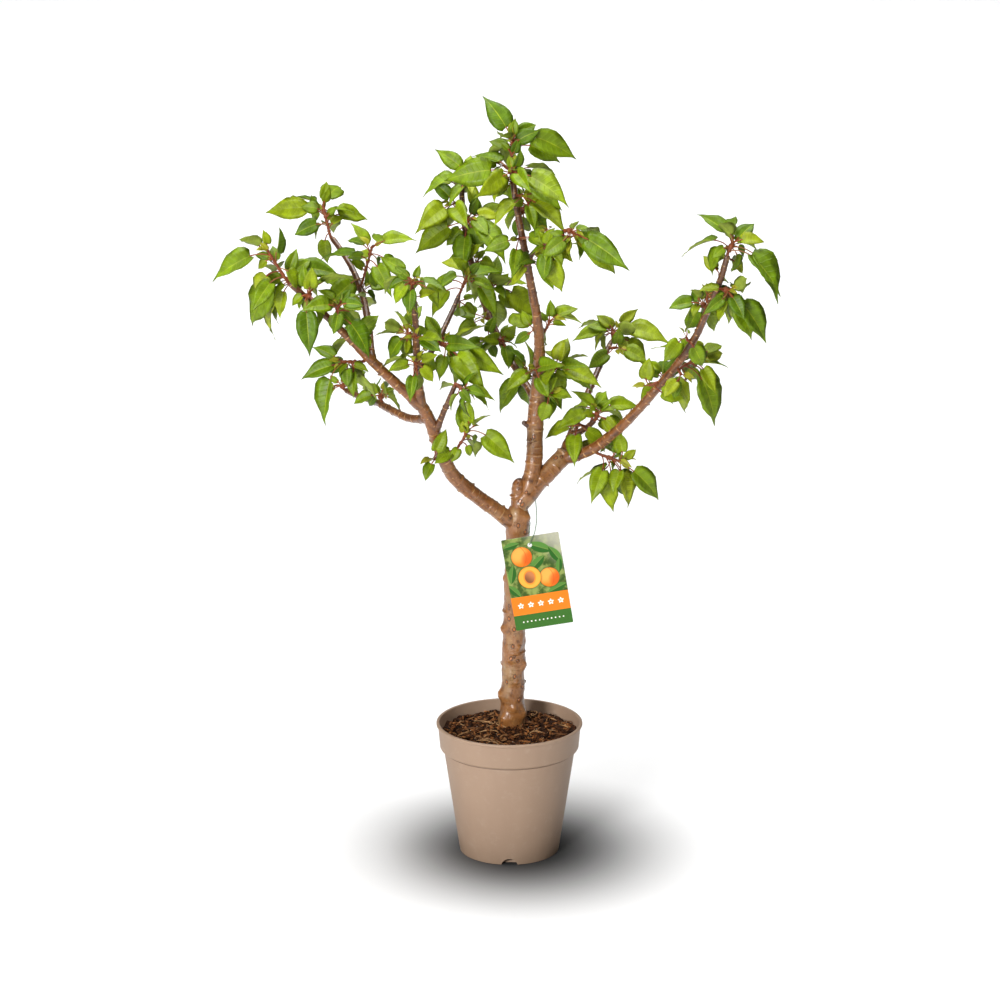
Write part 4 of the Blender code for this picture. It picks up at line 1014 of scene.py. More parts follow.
# %% The masses' planned sizes
Spray = namedtuple("Spray", "name limb at heading back length hidden blades")
SPRAYS = (
    Spray("left_outer_tip_leaves", "left_outer", 1.00, 120, -10, 0.060, 2, (
        (-130, 0.045), (-125, 0.045), (100, 0.020), (160, 0.020), (-160, 0.060), (95, 0.020))),
    Spray("left_outer_end_leaves", "left_outer", 0.96, 135, 35, 0.020, 2, (
        (-115, 0.080), (-105, 0.040), (-110, 0.060), (-130, 0.075), (-175, 0.030), (85, 0.015),
        (0, 0.055))),
    Spray("left_outer_drop_leaves", "left_outer", 0.88, 110, -35, 0.010, 1, (
        (-85, 0.060), (-45, 0.025), (-150, 0.020), (100, 0.030))),
    Spray("left_outer_mid_leaves", "left_outer", 0.70, 75, -30, 0.030, 2, (
        (-50, 0.055), (115, 0.020), (165, 0.035), (5, 0.025))),
    Spray("left_outer_tuft_leaves", "left_outer", 0.52, 75, 40, 0.010, 1, (
        (150, 0.015), (-45, 0.020))),
    Spray("left_outer_fork_leaves", "left_outer", 0.41, 175, -20, 0.035, 2, (
        (-95, 0.035), (-165, 0.030), (-165, 0.050), (-105, 0.065))),
    Spray("left_upper_tip_leaves", "left_upper", 1.00, 105, 20, 0.050, 3, (
        (-90, 0.040), (40, 0.020), (-165, 0.035), (-5, 0.045), (50, 0.015), (180, 0.065),
        (165, 0.025), (-60, 0.020), (80, 0.025))),
    Spray("left_upper_twig_leaves", "left_upper", 0.57, 75, -30, 0.080, 2, (
        (-145, 0.050), (130, 0.020), (-70, 0.025), (-55, 0.040), (-45, 0.040), (15, 0.045))),
    Spray("left_upper_back_leaves", "left_upper", 0.54, 110, 60, 0.010, 2, (
        (-80, 0.040), (-120, 0.030))),
    Spray("left_vertical_tip_leaves", "left_vertical", 1.00, 90, -15, 0.010, 2, (
        (-50, 0.040), (-40, 0.020), (-95, 0.030), (-165, 0.025), (145, 0.040))),
    Spray("left_vertical_mid_leaves", "left_vertical", 0.56, 150, 35, 0.010, 2, (
        (-130, 0.035), (5, 0.020))),
    Spray("left_vertical_low_leaves", "left_vertical", 0.32, 95, -35, 0.020, 1, (
        (-100, 0.035), (-45, 0.025))),
    Spray("left_vertical_right_tip_leaves", "left_vertical_right", 1.00, 65, 15, 0.030, 2, (
        (-130, 0.045), (-165, 0.040), (-55, 0.050), (55, 0.020))),
    Spray("left_vertical_right_mid_leaves", "left_vertical_right", 0.40, 10, -50, 0.015, 2, (
        (-55, 0.050), (150, 0.020), (-40, 0.055), (-20, 0.065), (15, 0.040))),
    Spray("leader_left_tip_leaves", "leader_left", 1.00, 25, 0, 0.010, 3, (
        (-140, 0.030), (-165, 0.050), (140, 0.045), (-15, 0.050), (85, 0.025))),
    Spray("leader_left_high_leaves", "leader_left", 0.82, 80, -40, 0.030, 2, (
        (-100, 0.045), (-135, 0.030), (-150, 0.065), (-60, 0.030), (-40, 0.055), (-30, 0.025))),
    Spray("leader_left_tuft_leaves", "leader_left", 0.66, 80, 50, 0.010, 1, (
        (-135, 0.025), (-50, 0.020))),
    Spray("leader_left_mid_leaves", "leader_left", 0.53, 55, 40, 0.020, 2, (
        (-85, 0.055), (-110, 0.040), (-45, 0.035), (-35, 0.065))),
    Spray("leader_left_low_leaves", "leader_left", 0.31, 90, -55, 0.010, 1, (
        (155, 0.020), (60, 0.020))),
    Spray("leader_left_foot_leaves", "leader_left", 0.12, 90, 60, 0.015, 2, (
        (-95, 0.045), (-130, 0.055), (135, 0.025), (20, 0.025))),
    Spray("leader_tip_leaves", "leader", 1.00, 85, 5, 0.035, 3, (
        (70, 0.020), (130, 0.015), (155, 0.025), (-20, 0.055), (35, 0.030), (120, 0.055),
        (-20, 0.070), (85, 0.020))),
    Spray("leader_shoulder_leaves", "leader", 0.96, 90, -45, 0.020, 3, (
        (-30, 0.060), (-135, 0.030), (-35, 0.025), (-175, 0.070), (-155, 0.040), (-25, 0.065),
        (-30, 0.035))),
    Spray("leader_neck_leaves", "leader", 0.85, 70, 45, 0.015, 2, (
        (-105, 0.025), (-45, 0.025), (-85, 0.030), (-5, 0.025), (-45, 0.040))),
    Spray("leader_twig_tip_leaves", "leader_twig", 1.00, -30, -25, 0.010, 2, (
        (-150, 0.035), (-40, 0.065), (-25, 0.030), (-25, 0.065))),
    Spray("leader_twig_mid_leaves", "leader_twig", 0.68, -110, 20, 0.010, 1, (
        (-75, 0.055), (-105, 0.035), (80, 0.025), (145, 0.020))),
    Spray("leader_stub_leaves", "leader", 0.49, 65, 0, 0.020, 0, (
        (115, 0.015), (50, 0.015))),
    Spray("leader_mid_leaves", "leader", 0.37, 35, -10, 0.015, 2, (
        (-25, 0.055), (-30, 0.020), (-10, 0.035), (-10, 0.050), (20, 0.035), (80, 0.030))),
    Spray("leader_low_leaves", "leader", 0.30, 45, 60, 0.010, 1, (
        (-90, 0.035), (-120, 0.020))),
    Spray("right_upper_tip_leaves", "right_upper", 1.00, 80, 10, 0.015, 3, (
        (-50, 0.050), (-55, 0.030), (-170, 0.045), (-5, 0.060), (115, 0.020), (30, 0.020),
        (135, 0.025), (40, 0.035))),
    Spray("right_twig_tip_leaves", "right_twig", 1.00, 85, -15, 0.015, 2, (
        (-40, 0.035), (-45, 0.030), (-165, 0.045), (75, 0.025), (5, 0.045), (50, 0.020))),
    Spray("right_lower_tip_leaves", "right_lower", 1.00, 65, 0, 0.020, 3, (
        (-40, 0.065), (-125, 0.035), (-150, 0.020), (-50, 0.075), (-45, 0.020), (140, 0.045),
        (10, 0.030), (100, 0.020))),
    Spray("right_lower_high_leaves", "right_lower", 0.89, 0, -35, 0.015, 3, (
        (-60, 0.060), (-50, 0.070), (-55, 0.030), (-145, 0.020), (-150, 0.035), (25, 0.020))),
    Spray("right_lower_upper_leaves", "right_lower", 0.80, 130, 50, 0.010, 2, (
        (-60, 0.040), (-140, 0.015), (-110, 0.035), (-75, 0.025), (-40, 0.020))),
    Spray("right_lower_twig_leaves", "right_lower", 0.55, 25, 20, 0.050, 3, (
        (-105, 0.060), (-65, 0.075), (-55, 0.055), (-55, 0.040), (15, 0.030), (30, 0.025),
        (130, 0.020))),
    Spray("right_lower_mid_leaves", "right_lower", 0.47, 40, 50, 0.010, 1, (
        (-135, 0.040),)),
    Spray("right_lower_under_leaves", "right_lower", 0.12, -15, -20, 0.040, 3, (
        (-115, 0.045), (-95, 0.060), (-70, 0.055), (-70, 0.055), (-40, 0.065), (45, 0.020))),
    Spray("left_bough_twig_leaves", "left_bough", 0.62, 60, -15, 0.055, 1, (
        (-155, 0.025), (-120, 0.020), (90, 0.020), (-35, 0.055))),
    Spray("left_stub_tip_leaves", "left_stub", 1.00, -40, -10, 0.015, 1, (
        (-45, 0.020), (-5, 0.025))),
    Spray("left_low_mid_leaves", "left_low", 0.52, 90, -10, 0.010, 2, (
        (130, 0.020), (30, 0.015), (-130, 0.020))),
    Spray("left_low_tip_leaves", "left_low", 1.00, 115, 20, 0.010, 2, (
        (-30, 0.020), (140, 0.015))),
)

# Shoots and leaves
SHOOT_RADIUS = 0.0024
SHOOT_TIP_RADIUS = 0.0020
SHOOT_SEEK = 0.020
SHOOT_KNEE = 0.004
SHOOT_CLEAR = 0.005
SHOOT_ROOM = 1.2
PETIOLE_SHARE = 0.48
PETIOLE_LEAST = 0.010
PETIOLE_TURN = 0.7
NEARLY_ALONG = 0.2
LEAST_SPREAD = 25
PETIOLE_RADIUS = 0.0009
PETIOLE_SUNK = 0.0003
BLADE_WIDTH = 0.66
BLADE_THICKNESS = 0.0018
BLADE_FOLD = 0.30
BLADE_DROOP = 0.12
BLADE_TAPER = 1.35
BLADE_SHOULDER = 0.25
HIDDEN_LENGTHS = (0.034, 0.062)
HIDDEN_RISE = (-50, 25)
HIDDEN_TURN = (20, 160)
HIDDEN_SPOTS = (0.2, 0.9)
HIDDEN_FACING_UP = (0.7, 1.4)
FRONT_SPOT = 0.7
FACING_ASIDE = 0.3
FACING_UP = (0.3, 0.9)
BACK_SHARE = 0.4
FIRST_SWING = 24
SWING_PER_TRY = 4
MOST_SWING = 65
LEAST_SHORTENING = 0.72
ROLL = 24
TRIES = 14
CLEAR_OF_LIMB = 0.0014
CLEAR_OF_BLADE = 1.5
OUTER_STALK = 0.35
WHOLE_STALK = 0.1

print("planned:", len(SPRAYS), "masses with", sum(len(spray.blades) + spray.hidden for spray in SPRAYS), "leaves")

# %% A leaf's place, and a plain stand-in of it for the tests of what touches
# A leaf is worked out from its petiole's root, its blade's root, midrib, upward normal and length
Leaf = namedtuple("Leaf", "root base ahead normal length")
LENS_SIDES = 8
LENS = [Vector((math.cos(math.tau * k / LENS_SIDES), math.sin(math.tau * k / LENS_SIDES), 0))
        for k in range(LENS_SIDES)] + [Vector((0, 0, 1)), Vector((0, 0, -1))]
LENS_FACES = [(k, (k + 1) % LENS_SIDES, LENS_SIDES) for k in range(LENS_SIDES)]
LENS_FACES += [((k + 1) % LENS_SIDES, k, LENS_SIDES + 1) for k in range(LENS_SIDES)]


def on_blade(leaf, spot, fatter=1.0):
    """Where a point of a unit lens lies on the folded, drooping, egg-shaped blade."""
    far = ((1 + spot.x) / 2) ** BLADE_TAPER
    side = spot.y * (1 - BLADE_SHOULDER * spot.x) * leaf.length * BLADE_WIDTH / 2
    across = leaf.normal.cross(leaf.ahead)
    lift = BLADE_FOLD * abs(side) - BLADE_DROOP * leaf.length * far * far
    lift += spot.z * BLADE_THICKNESS / 2 * fatter
    return leaf.base + leaf.ahead * (far * leaf.length) + across * side + leaf.normal * lift


def blade_tree(leaf):
    return BVHTree.FromPolygons([on_blade(leaf, spot, CLEAR_OF_BLADE) for spot in LENS], LENS_FACES)


def needle(start, end, radius):
    """A three-sided bar between two places, as points and faces."""
    ahead = (end - start).normalized()
    first = ahead.orthogonal().normalized() * radius
    second = ahead.cross(first)
    corners = [first * math.cos(math.tau * k / 3) + second * math.sin(math.tau * k / 3)
               for k in range(3)]
    points = [start + corner for corner in corners] + [end + corner for corner in corners]
    faces = [(k, (k + 1) % 3, (k + 1) % 3 + 3, k + 3) for k in range(3)]
    return points, faces


def petiole_tree(leaf, from_share):
    start = leaf.root.lerp(leaf.base, from_share)
    return BVHTree.FromPolygons(*needle(start, leaf.base, PETIOLE_RADIUS * CLEAR_OF_BLADE))


# %% Where shoots and leaves go
def shoot_points(spray, plans, skins):
    """The foot of the shoot just off its limb's skin or tip, its knee and its tip."""
    axis, ahead = along(plans[spray.limb][0], spray.at)
    aim = heading_of(90 - spray.heading, spray.back)
    if spray.at == 1.0:
        place, out = axis, ahead
    else:
        side = (aim - ahead * aim.dot(ahead)).normalized()
        place, out, _, _ = skins[spray.limb].ray_cast(axis + side * SHOOT_SEEK, -side)
    foot = place + out * GAP
    knee = foot + out * SHOOT_KNEE
    return [foot, knee, knee + aim * max(spray.length - SHOOT_KNEE, SHOOT_CLEAR)]


def leaf_of(shoot, share, heading, length, facing, roll):
    """A leaf whose stalk turns most of the way from the shoot's heading to the blade's."""
    root = shoot[1].lerp(shoot[2], share)
    aim = (shoot[2] - shoot[1]).normalized()
    axis = aim.cross(heading)
    if axis.length < NEARLY_ALONG:
        axis = aim.cross(facing)
    rise = aim.copy()
    rise.rotate(Quaternion(axis, max(PETIOLE_TURN * aim.angle(heading), math.radians(LEAST_SPREAD))))
    base = root + rise * max(PETIOLE_SHARE * length, PETIOLE_LEAST)
    normal = (facing - heading * facing.dot(heading)).normalized()
    normal = Matrix.Rotation(math.radians(roll), 3, heading) @ normal
    return Leaf(root, base, heading, normal, length)


def front_leaf(spray, shoot, index, attempt):
    """A blade that the front shows, swung further out of the picture with each try."""
    luck = random.Random(f"{spray.name} front {index} {attempt}")
    heading, length = spray.blades[index]
    swing = FIRST_SWING + SWING_PER_TRY * attempt
    back = max(-MOST_SWING, min(MOST_SWING, spray.back * BACK_SHARE + luck.uniform(-swing, swing)))
    ahead = heading_of(90 - heading, back)
    length = length / max(math.cos(math.radians(back)), LEAST_SHORTENING)
    share = (index + FRONT_SPOT) / len(spray.blades)
    facing = Vector((luck.uniform(-FACING_ASIDE, FACING_ASIDE), -1.0, luck.uniform(*FACING_UP)))
    return leaf_of(shoot, share, ahead, length, facing, luck.uniform(-ROLL, ROLL))


def hidden_leaf(spray, shoot, index, attempt):
    """A blade on the side that the front hides, facing out and up."""
    luck = random.Random(f"{spray.name} hidden {index} {attempt}")
    length = luck.uniform(*HIDDEN_LENGTHS)
    turn = math.radians(luck.uniform(*HIDDEN_TURN))
    rise = math.radians(luck.uniform(*HIDDEN_RISE))
    ahead = Vector((math.cos(turn) * math.cos(rise), math.sin(turn) * math.cos(rise), math.sin(rise)))
    facing = Vector((ahead.x, ahead.y, luck.uniform(*HIDDEN_FACING_UP)))
    share = luck.uniform(*HIDDEN_SPOTS)
    return leaf_of(shoot, share, ahead, length, facing, luck.uniform(-ROLL, ROLL))


# %% Leaves that fit
def limb_spots(plans):
    """Places along every limb with its radius there, close enough together to stand for it."""
    spots = []
    for points, radii in plans.values():
        count = (len(points) - 1) * 4
        for index in range(count + 1):
            share = index / count
            spots.append((along(points, share)[0], between(radii, share)))
    return spots


def touches_limb(tree, spots):
    return any(tree.find_nearest(place, radius + CLEAR_OF_LIMB)[0] is not None
               for place, radius in spots)


LONGEST_SHOOT = max(spray.length for spray in SPRAYS)


class Crown:
    """What has grown so far: leaves and shoots, each clear of all limbs and of one another."""

    def __init__(self, plans, skins):
        self.plans = plans
        self.skins = skins
        self.spots = limb_spots(plans)
        self.shoots = {}
        self.bars = {}
        self.blades = []
        self.stalks = []

    def fits(self, leaf, name):
        blade = blade_tree(leaf)
        outer, whole = petiole_tree(leaf, OUTER_STALK), petiole_tree(leaf, WHOLE_STALK)
        middle = leaf.base + leaf.ahead * (leaf.length / 2)
        reach = leaf.length + (leaf.base - leaf.root).length
        near = [spot for spot in self.spots if (spot[0] - middle).length < reach + spot[1] + CLEAR_OF_LIMB]
        if touches_limb(blade, near) or touches_limb(outer, near):
            return False
        for other, shoot_bars in self.bars.items():
            if (self.shoots[other][1] - middle).length > reach + LONGEST_SHOOT:
                continue
            if any(blade.overlap(bar) or (other != name and whole.overlap(bar)) for bar in shoot_bars):
                return False
        for centre, wide, taken in self.blades:
            if (centre - middle).length < wide + reach and (blade.overlap(taken) or whole.overlap(taken)):
                return False
        for centre, wide, other, nearer, far in self.stalks:
            if (centre - middle).length > wide + reach:
                continue
            if blade.overlap(far) or (other != name and (blade.overlap(nearer) or whole.overlap(nearer))):
                return False
        self.blades.append((middle, reach, blade))
        self.stalks.append((middle, reach, name, whole, outer))
        return True

    def raise_shoots(self, sprays):
        for spray in sprays:
            shoot = shoot_points(spray, self.plans, self.skins)
            self.shoots[spray.name] = shoot
            self.bars[spray.name] = [
                BVHTree.FromPolygons(*needle(shoot[k], shoot[k + 1], SHOOT_RADIUS * SHOOT_ROOM))
                for k in range(2)]

    def grow(self, sprays, make, count_of):
        """The leaves of each spray that fit, each tried a few times."""
        grown = {spray.name: [] for spray in sprays}
        for spray in sprays:
            for index in range(count_of(spray)):
                for attempt in range(TRIES):
                    leaf = make(spray, self.shoots[spray.name], index, attempt)
                    if self.fits(leaf, spray.name):
                        grown[spray.name].append(leaf)
                        break
        return grown

# %% The leaves' places
def skin_tree(name):
    """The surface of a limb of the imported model."""
    mesh = nodes[name].data
    return BVHTree.FromPolygons([vertex.co for vertex in mesh.vertices],
                                [face.vertices for face in mesh.polygons])


crown = Crown(plans, {limb.name: skin_tree(limb.name) for limb in LIMBS})
crown.raise_shoots(SPRAYS)
front = crown.grow(SPRAYS, front_leaf, lambda spray: len(spray.blades))
hidden = crown.grow(SPRAYS, hidden_leaf, lambda spray: spray.hidden)
grown_leaves = {spray.name: front[spray.name] + hidden[spray.name] for spray in SPRAYS}
print("grown:", sum(map(len, grown_leaves.values())), "leaves of", len(SPRAYS), "masses")

# %% [markdown]
# The solids carry only the larger blades. A real mass is fuller: small leaves crowd its shoot, and short spurs
# beside it carry tufts of their own. The same rule grows them here within the same reach, and each must
# fit between those that stand already, so the gaps of the crown stay open.

# %% Finer twigs and smaller leaves
FILLERS = 5
FILLER_LENGTHS = (0.017, 0.038)
FILLER_FLAT = 0.45
SPURS = 1
BARE_LIMBS = ("left_outer", "left_upper", "left_stub", "left_low")
SPUR_AWAY = (0.006, 0.018)
SPUR_LENGTHS = (0.006, 0.014)
SPUR_LEAVES = (2, 4)
SPUR_BLADES = (0.016, 0.036)
TURN_MOST = 75
LIMB_LENGTHS = {limb.name: limb.length for limb in LIMBS}


def filler_leaf(spray, shoot, index, attempt):
    """A small blade on any side of a shoot, heading out of it and a little down."""
    luck = random.Random(f"{spray.name} filler {index} {attempt}")
    length = luck.uniform(*FILLER_LENGTHS)
    aim = (shoot[2] - shoot[1]).normalized()
    wild = Vector([luck.gauss(0, 1) for _ in range(3)]).normalized()
    ahead = Vector((aim.x * 0.4 + wild.x, wild.y * FILLER_FLAT, aim.z * 0.4 + wild.z - 0.2)).normalized()
    facing = Vector((luck.uniform(-0.5, 0.5) + ahead.x, luck.uniform(-1.2, 0.2), luck.uniform(0.4, 1.2)))
    return leaf_of(shoot, luck.uniform(0.35, 1.0), ahead, length, facing, luck.uniform(-ROLL, ROLL))


def spur_of(spray, index):
    """A short spur beside a mass, on the same limb."""
    luck = random.Random(f"{spray.name} spur {index}")
    away = luck.uniform(*SPUR_AWAY) / LIMB_LENGTHS[spray.limb] * (1 + index)
    at = spray.at - away if spray.at > 0.9 or index else spray.at + away
    blades = [(luck.uniform(-170, 170), luck.uniform(*SPUR_BLADES)) for _ in range(luck.randint(*SPUR_LEAVES))]
    return Spray(f"{spray.name} spur {index}", spray.limb, max(at, 0.05), luck.uniform(-180, 180),
                 luck.uniform(-TURN_MOST, TURN_MOST), luck.uniform(*SPUR_LENGTHS), 0, blades)


# Tufts between the larger masses, where the leader is clothed to its tip
TUFTS = (
    Spray("leader_high_tuft", "leader", 0.91, 20, -50, 0.014, 1, (
        (-25, 0.052), (-150, 0.040), (-70, 0.038), (15, 0.036))),
    Spray("leader_throat_tuft", "leader", 0.79, 120, -50, 0.012, 1, (
        (-165, 0.040), (-30, 0.042), (-95, 0.040), (-10, 0.030))),
    Spray("leader_breast_tuft", "leader", 0.72, 60, -40, 0.010, 1, (
        (-50, 0.036), (-140, 0.032), (150, 0.028))),
    Spray("leader_left_peak_tuft", "leader_left", 0.92, 150, -40, 0.014, 1, (
        (-160, 0.045), (130, 0.034), (-100, 0.036), (-35, 0.040))),
    Spray("leader_left_waist_tuft", "leader_left", 0.43, 140, -45, 0.012, 1, (
        (-150, 0.040), (-60, 0.040), (160, 0.032))),
    Spray("right_twig_low_tuft", "right_twig", 0.62, 150, -30, 0.012, 1, (
        (-165, 0.042), (-95, 0.036), (-30, 0.034))),
    Spray("right_lower_waist_tuft", "right_lower", 0.68, 110, -30, 0.010, 1, (
        (-60, 0.034), (-135, 0.030))),
)

spurs = [spur_of(spray, index) for spray in SPRAYS if spray.limb not in BARE_LIMBS for index in range(SPURS)]
spurs += TUFTS
crown.raise_shoots(spurs)
fillers = crown.grow(SPRAYS, filler_leaf, lambda spray: FILLERS)
grown_leaves.update(crown.grow(spurs, front_leaf, lambda spray: len(spray.blades)))
for name, leaves in fillers.items():
    grown_leaves[name] = grown_leaves[name] + leaves
ALL_SPRAYS = [*SPRAYS, *spurs]
shoots = crown.shoots
print("with finer twigs:", sum(map(len, grown_leaves.values())), "leaves on", len(ALL_SPRAYS), "shoots")

# %% [markdown]
# An apricot's blade is broad and heart-shaped at its foot, with a drawn-out tip that hangs, a fold along its
# midrib and a soft wave in its margin. A flat card with a picture would be light, but it needs an image and
# looks thin from the side. Here a small grid is pulled to the outline, copied down for its underside and welded
# round its margin, so each leaf is a closed shape of a few dozen faces. The midrib has faces of its own.

# %% One blade
# Its stations from foot to tip: how far along, and half its width, as parts of its length
OUTLINE = ((0.0, 0.0), (0.020, 0.155), (0.09, 0.250), (0.20, 0.305), (0.34, 0.317), (0.48, 0.284), (0.62, 0.211),
           (0.75, 0.122), (0.87, 0.047), (1.0, 0.0))
ROUND_OUTLINE = ((0.0, 0.0), (0.025, 0.200), (0.10, 0.315), (0.22, 0.380), (0.38, 0.400), (0.54, 0.365), (0.69, 0.285),
                 (0.82, 0.170), (0.92, 0.068), (1.0, 0.0))
ROUND_BELOW = 0.036
COLUMNS = (-1.0, -0.52, -0.04, 0.04, 0.52, 1.0)
LOBE = 0.070
TIP_HANG = 0.45
MARGIN_WAVE = 0.024
WAVES = 2.6
SIDE_HANG = 0.16
FOLDS = (0.25, 0.85)
ARCHES = (0.02, 0.22)
LEAF_THICKNESS = 0.00045
SHADES = 6
UNDERSIDE = SHADES
MIDRIB = SHADES + 1
YOUNG = SHADES + 2


def on_leaf(leaf, across, far, half, luck_phase, fold, arch):
    """Where a spot of the blade lies: folded, waved at its margin and hanging at its tip."""
    side = across * half * leaf.length / math.hypot(1, fold)
    reach = far - LOBE * across * across * (1 - min(1.0, far / 0.35)) * (far > 0)
    wave = MARGIN_WAVE * math.sin(math.tau * WAVES * far + luck_phase + (across > 0)) * across * across
    hang = (BLADE_DROOP + arch) * far * far + TIP_HANG * max(0.0, far - 0.72) ** 2
    lift = fold * abs(side) * (1 - 0.5 * far) + (wave - hang) * leaf.length
    sideways = leaf.normal.cross(leaf.ahead)
    sink = SIDE_HANG * far * far * leaf.length * -sideways.z
    return leaf.base + leaf.ahead * (reach * leaf.length) + sideways * (side + sink) + leaf.normal * lift


def add_blade(bm, leaf, luck, shade, fold, slim=1.0):
    uv = bm.loops.layers.uv.verify()
    outline = ROUND_OUTLINE if leaf.length < ROUND_BELOW else OUTLINE
    rows = len(outline) - 1
    columns = len(COLUMNS) - 1
    top = bmesh.ops.create_grid(bm, x_segments=columns, y_segments=rows, size=1, calc_uvs=True)["verts"]
    faces = list({face for vertex in top for face in vertex.link_faces})
    phase = luck.uniform(0, math.tau)
    arch = luck.uniform(*ARCHES)
    spots = {}
    for vertex in top:
        column = round((vertex.co.x + 1) / 2 * columns)
        row = round((vertex.co.y + 1) / 2 * rows)
        far, half = outline[row]
        spots[vertex] = (COLUMNS[column], far)
        vertex.co = on_leaf(leaf, COLUMNS[column], far, half * slim, phase, fold, arch)
    for face in faces:
        middle = sum(spots[vertex][0] for vertex in face.verts) / len(face.verts)
        face.material_index = MIDRIB if abs(middle) < 0.03 else shade
        for loop in face.loops:
            loop[uv].uv = ((spots[loop.vert][0] + 1) / 2, spots[loop.vert][1])
    copy = bmesh.ops.duplicate(bm, geom=faces)["geom"]
    below = [part for part in copy if isinstance(part, bmesh.types.BMFace)]
    inner = {vertex for face in below for vertex in face.verts if not vertex.is_boundary}
    bmesh.ops.translate(bm, vec=leaf.normal * -LEAF_THICKNESS, verts=list(inner))
    bmesh.ops.reverse_faces(bm, faces=below)
    for face in below:
        face.material_index = UNDERSIDE
    rim = list({vertex for face in faces + below for vertex in face.verts})
    bmesh.ops.remove_doubles(bm, verts=rim, dist=0.00001)


# %% [markdown]
# Leaves catch light from every side, so a mass isn't one green: sunlit blades are yellow green, those inside are
# deeper, undersides are pale and matt. Each spray deals plain greens out to its blades, and a faint net of side
# veins follows the blade's own map, because the closing export can't keep a pattern's place on joined pieces.

# %% The leaves' finishes
LEAF_GREENS = ((0.108, 0.202, 0.001), (0.143, 0.244, 0.001), (0.183, 0.286, 0.001), (0.230, 0.326, 0.001),
               (0.280, 0.364, 0.003), (0.335, 0.405, 0.008))
LEAF_UNDERSIDE = (0.260, 0.335, 0.035)
LEAF_MIDRIB = (0.305, 0.385, 0.015)
LEAF_YOUNG = (0.360, 0.360, 0.015)
LEAF_SHINE = 0.30
VEIN_GAP = 0.115
VEIN_SLANT = 0.26


def blade_finish(name, colour, roughness=0.36, veins=1.0):
    finish = Finish(name)
    chart = finish.node("ShaderNodeTexCoord", {}, {}, "UV")
    across = finish.node("ShaderNodeSeparateXYZ", {}, {0: chart}, "X")
    far = finish.node("ShaderNodeSeparateXYZ", {}, {0: chart}, "Y")
    out = (across - 0.5).size()
    waves = (far - VEIN_SLANT * out) * (math.tau / VEIN_GAP)
    vein = waves.math("COSINE", waves).step(0.80, 1.0) * veins
    tone = finish.cloud(finish.place(), 90, 3)
    lighter = tuple(min(1.0, part * 1.30) for part in colour)
    darker = tuple(part * 0.66 for part in colour)
    painted = finish.mix(tone.step(0.35, 0.68), darker, colour)
    painted = finish.mix(vein * 0.30, painted, lighter)
    finish.set(Base_Color=painted, Roughness=roughness + 0.15 * tone, Specular_IOR_Level=LEAF_SHINE)
    finish.bump(tone * 0.5 - vein, 0.0005)
    return finish


# %% All blades
YOUNG_PER_SPRAY = 3
YOUNG_LENGTHS = (0.009, 0.019)
YOUNG_FOLD = 0.7
YOUNG_SLIM = 0.85


def young_leaf(spray, shoot, index):
    """A small folded blade that still points the way its shoot grows."""
    luck = random.Random(f"{spray.name} young {index}")
    aim = (shoot[2] - shoot[1]).normalized()
    ahead = (aim + Vector([luck.uniform(-0.8, 0.8) for _ in range(3)])).normalized()
    facing = Vector((luck.uniform(-0.6, 0.6), luck.uniform(-1.0, 0.2), luck.uniform(0.2, 1.0)))
    return leaf_of(shoot, luck.uniform(0.6, 0.98), ahead, luck.uniform(*YOUNG_LENGTHS), facing, 0)


def blades_of(spray):
    bm = bmesh.new()
    luck = random.Random(f"{spray.name} greens")
    tone = luck.uniform(1.2, 3.4)
    for leaf in grown_leaves[spray.name]:
        shade = min(SHADES - 1, max(0, round(luck.gauss(tone, 1.2))))
        add_blade(bm, leaf, luck, shade, luck.uniform(*FOLDS))
    for leaf in young_leaves[spray.name]:
        add_blade(bm, leaf, luck, YOUNG, YOUNG_FOLD, YOUNG_SLIM)
    return bm


young_leaves = {spray.name: [young_leaf(spray, shoots[spray.name], index) for index in range(YOUNG_PER_SPRAY)]
                for spray in ALL_SPRAYS}
finishes = [blade_finish(f"leaf_green_{index}", green) for index, green in enumerate(LEAF_GREENS)]
finishes += [blade_finish("leaf_underside", LEAF_UNDERSIDE, 0.55, 0.6),
             blade_finish("leaf_midrib", LEAF_MIDRIB, 0.45, 0.0),
             blade_finish("young_leaf", LEAF_YOUNG, 0.38, 0.5)]
add_piece("blades", gather(blades_of(spray) for spray in ALL_SPRAYS), finishes, leaf_nodes)

# %% [markdown]
# Shoots are the red-brown new wood that leaves stand on, and each blade hangs on a long thin stalk that leaves
# the shoot along it and bends over to the blade. Straight rods would look like wire, so a stalk is a short curve
# with its own taper, swollen where it joins the shoot.

# %% Shoots and stalks
SHOOT_SIDES = 8
STALK_SIDES = 5
STALK_STEPS = 7
STALK_RADIUS = 0.00085
STALK_BOW = 0.16
SHOOT_ROOT = 0.005


def stalk_line(leaf, shoot):
    aim = (shoot[2] - shoot[1]).normalized()
    reach = (leaf.base - leaf.root).length
    bend = leaf.root.lerp(leaf.base, 0.5) + (aim - leaf.ahead) * (STALK_BOW * reach)
    line = []
    for index in range(STALK_STEPS + 1):
        share = index / STALK_STEPS
        line.append(leaf.root.lerp(bend, share).lerp(bend.lerp(leaf.base, share), share))
    return line + [leaf.base + leaf.ahead * 0.0012]


def stalk_radius(share, turn):
    return STALK_RADIUS * (1 + 1.0 * math.exp(-share * 14) + 0.35 * share ** 4)


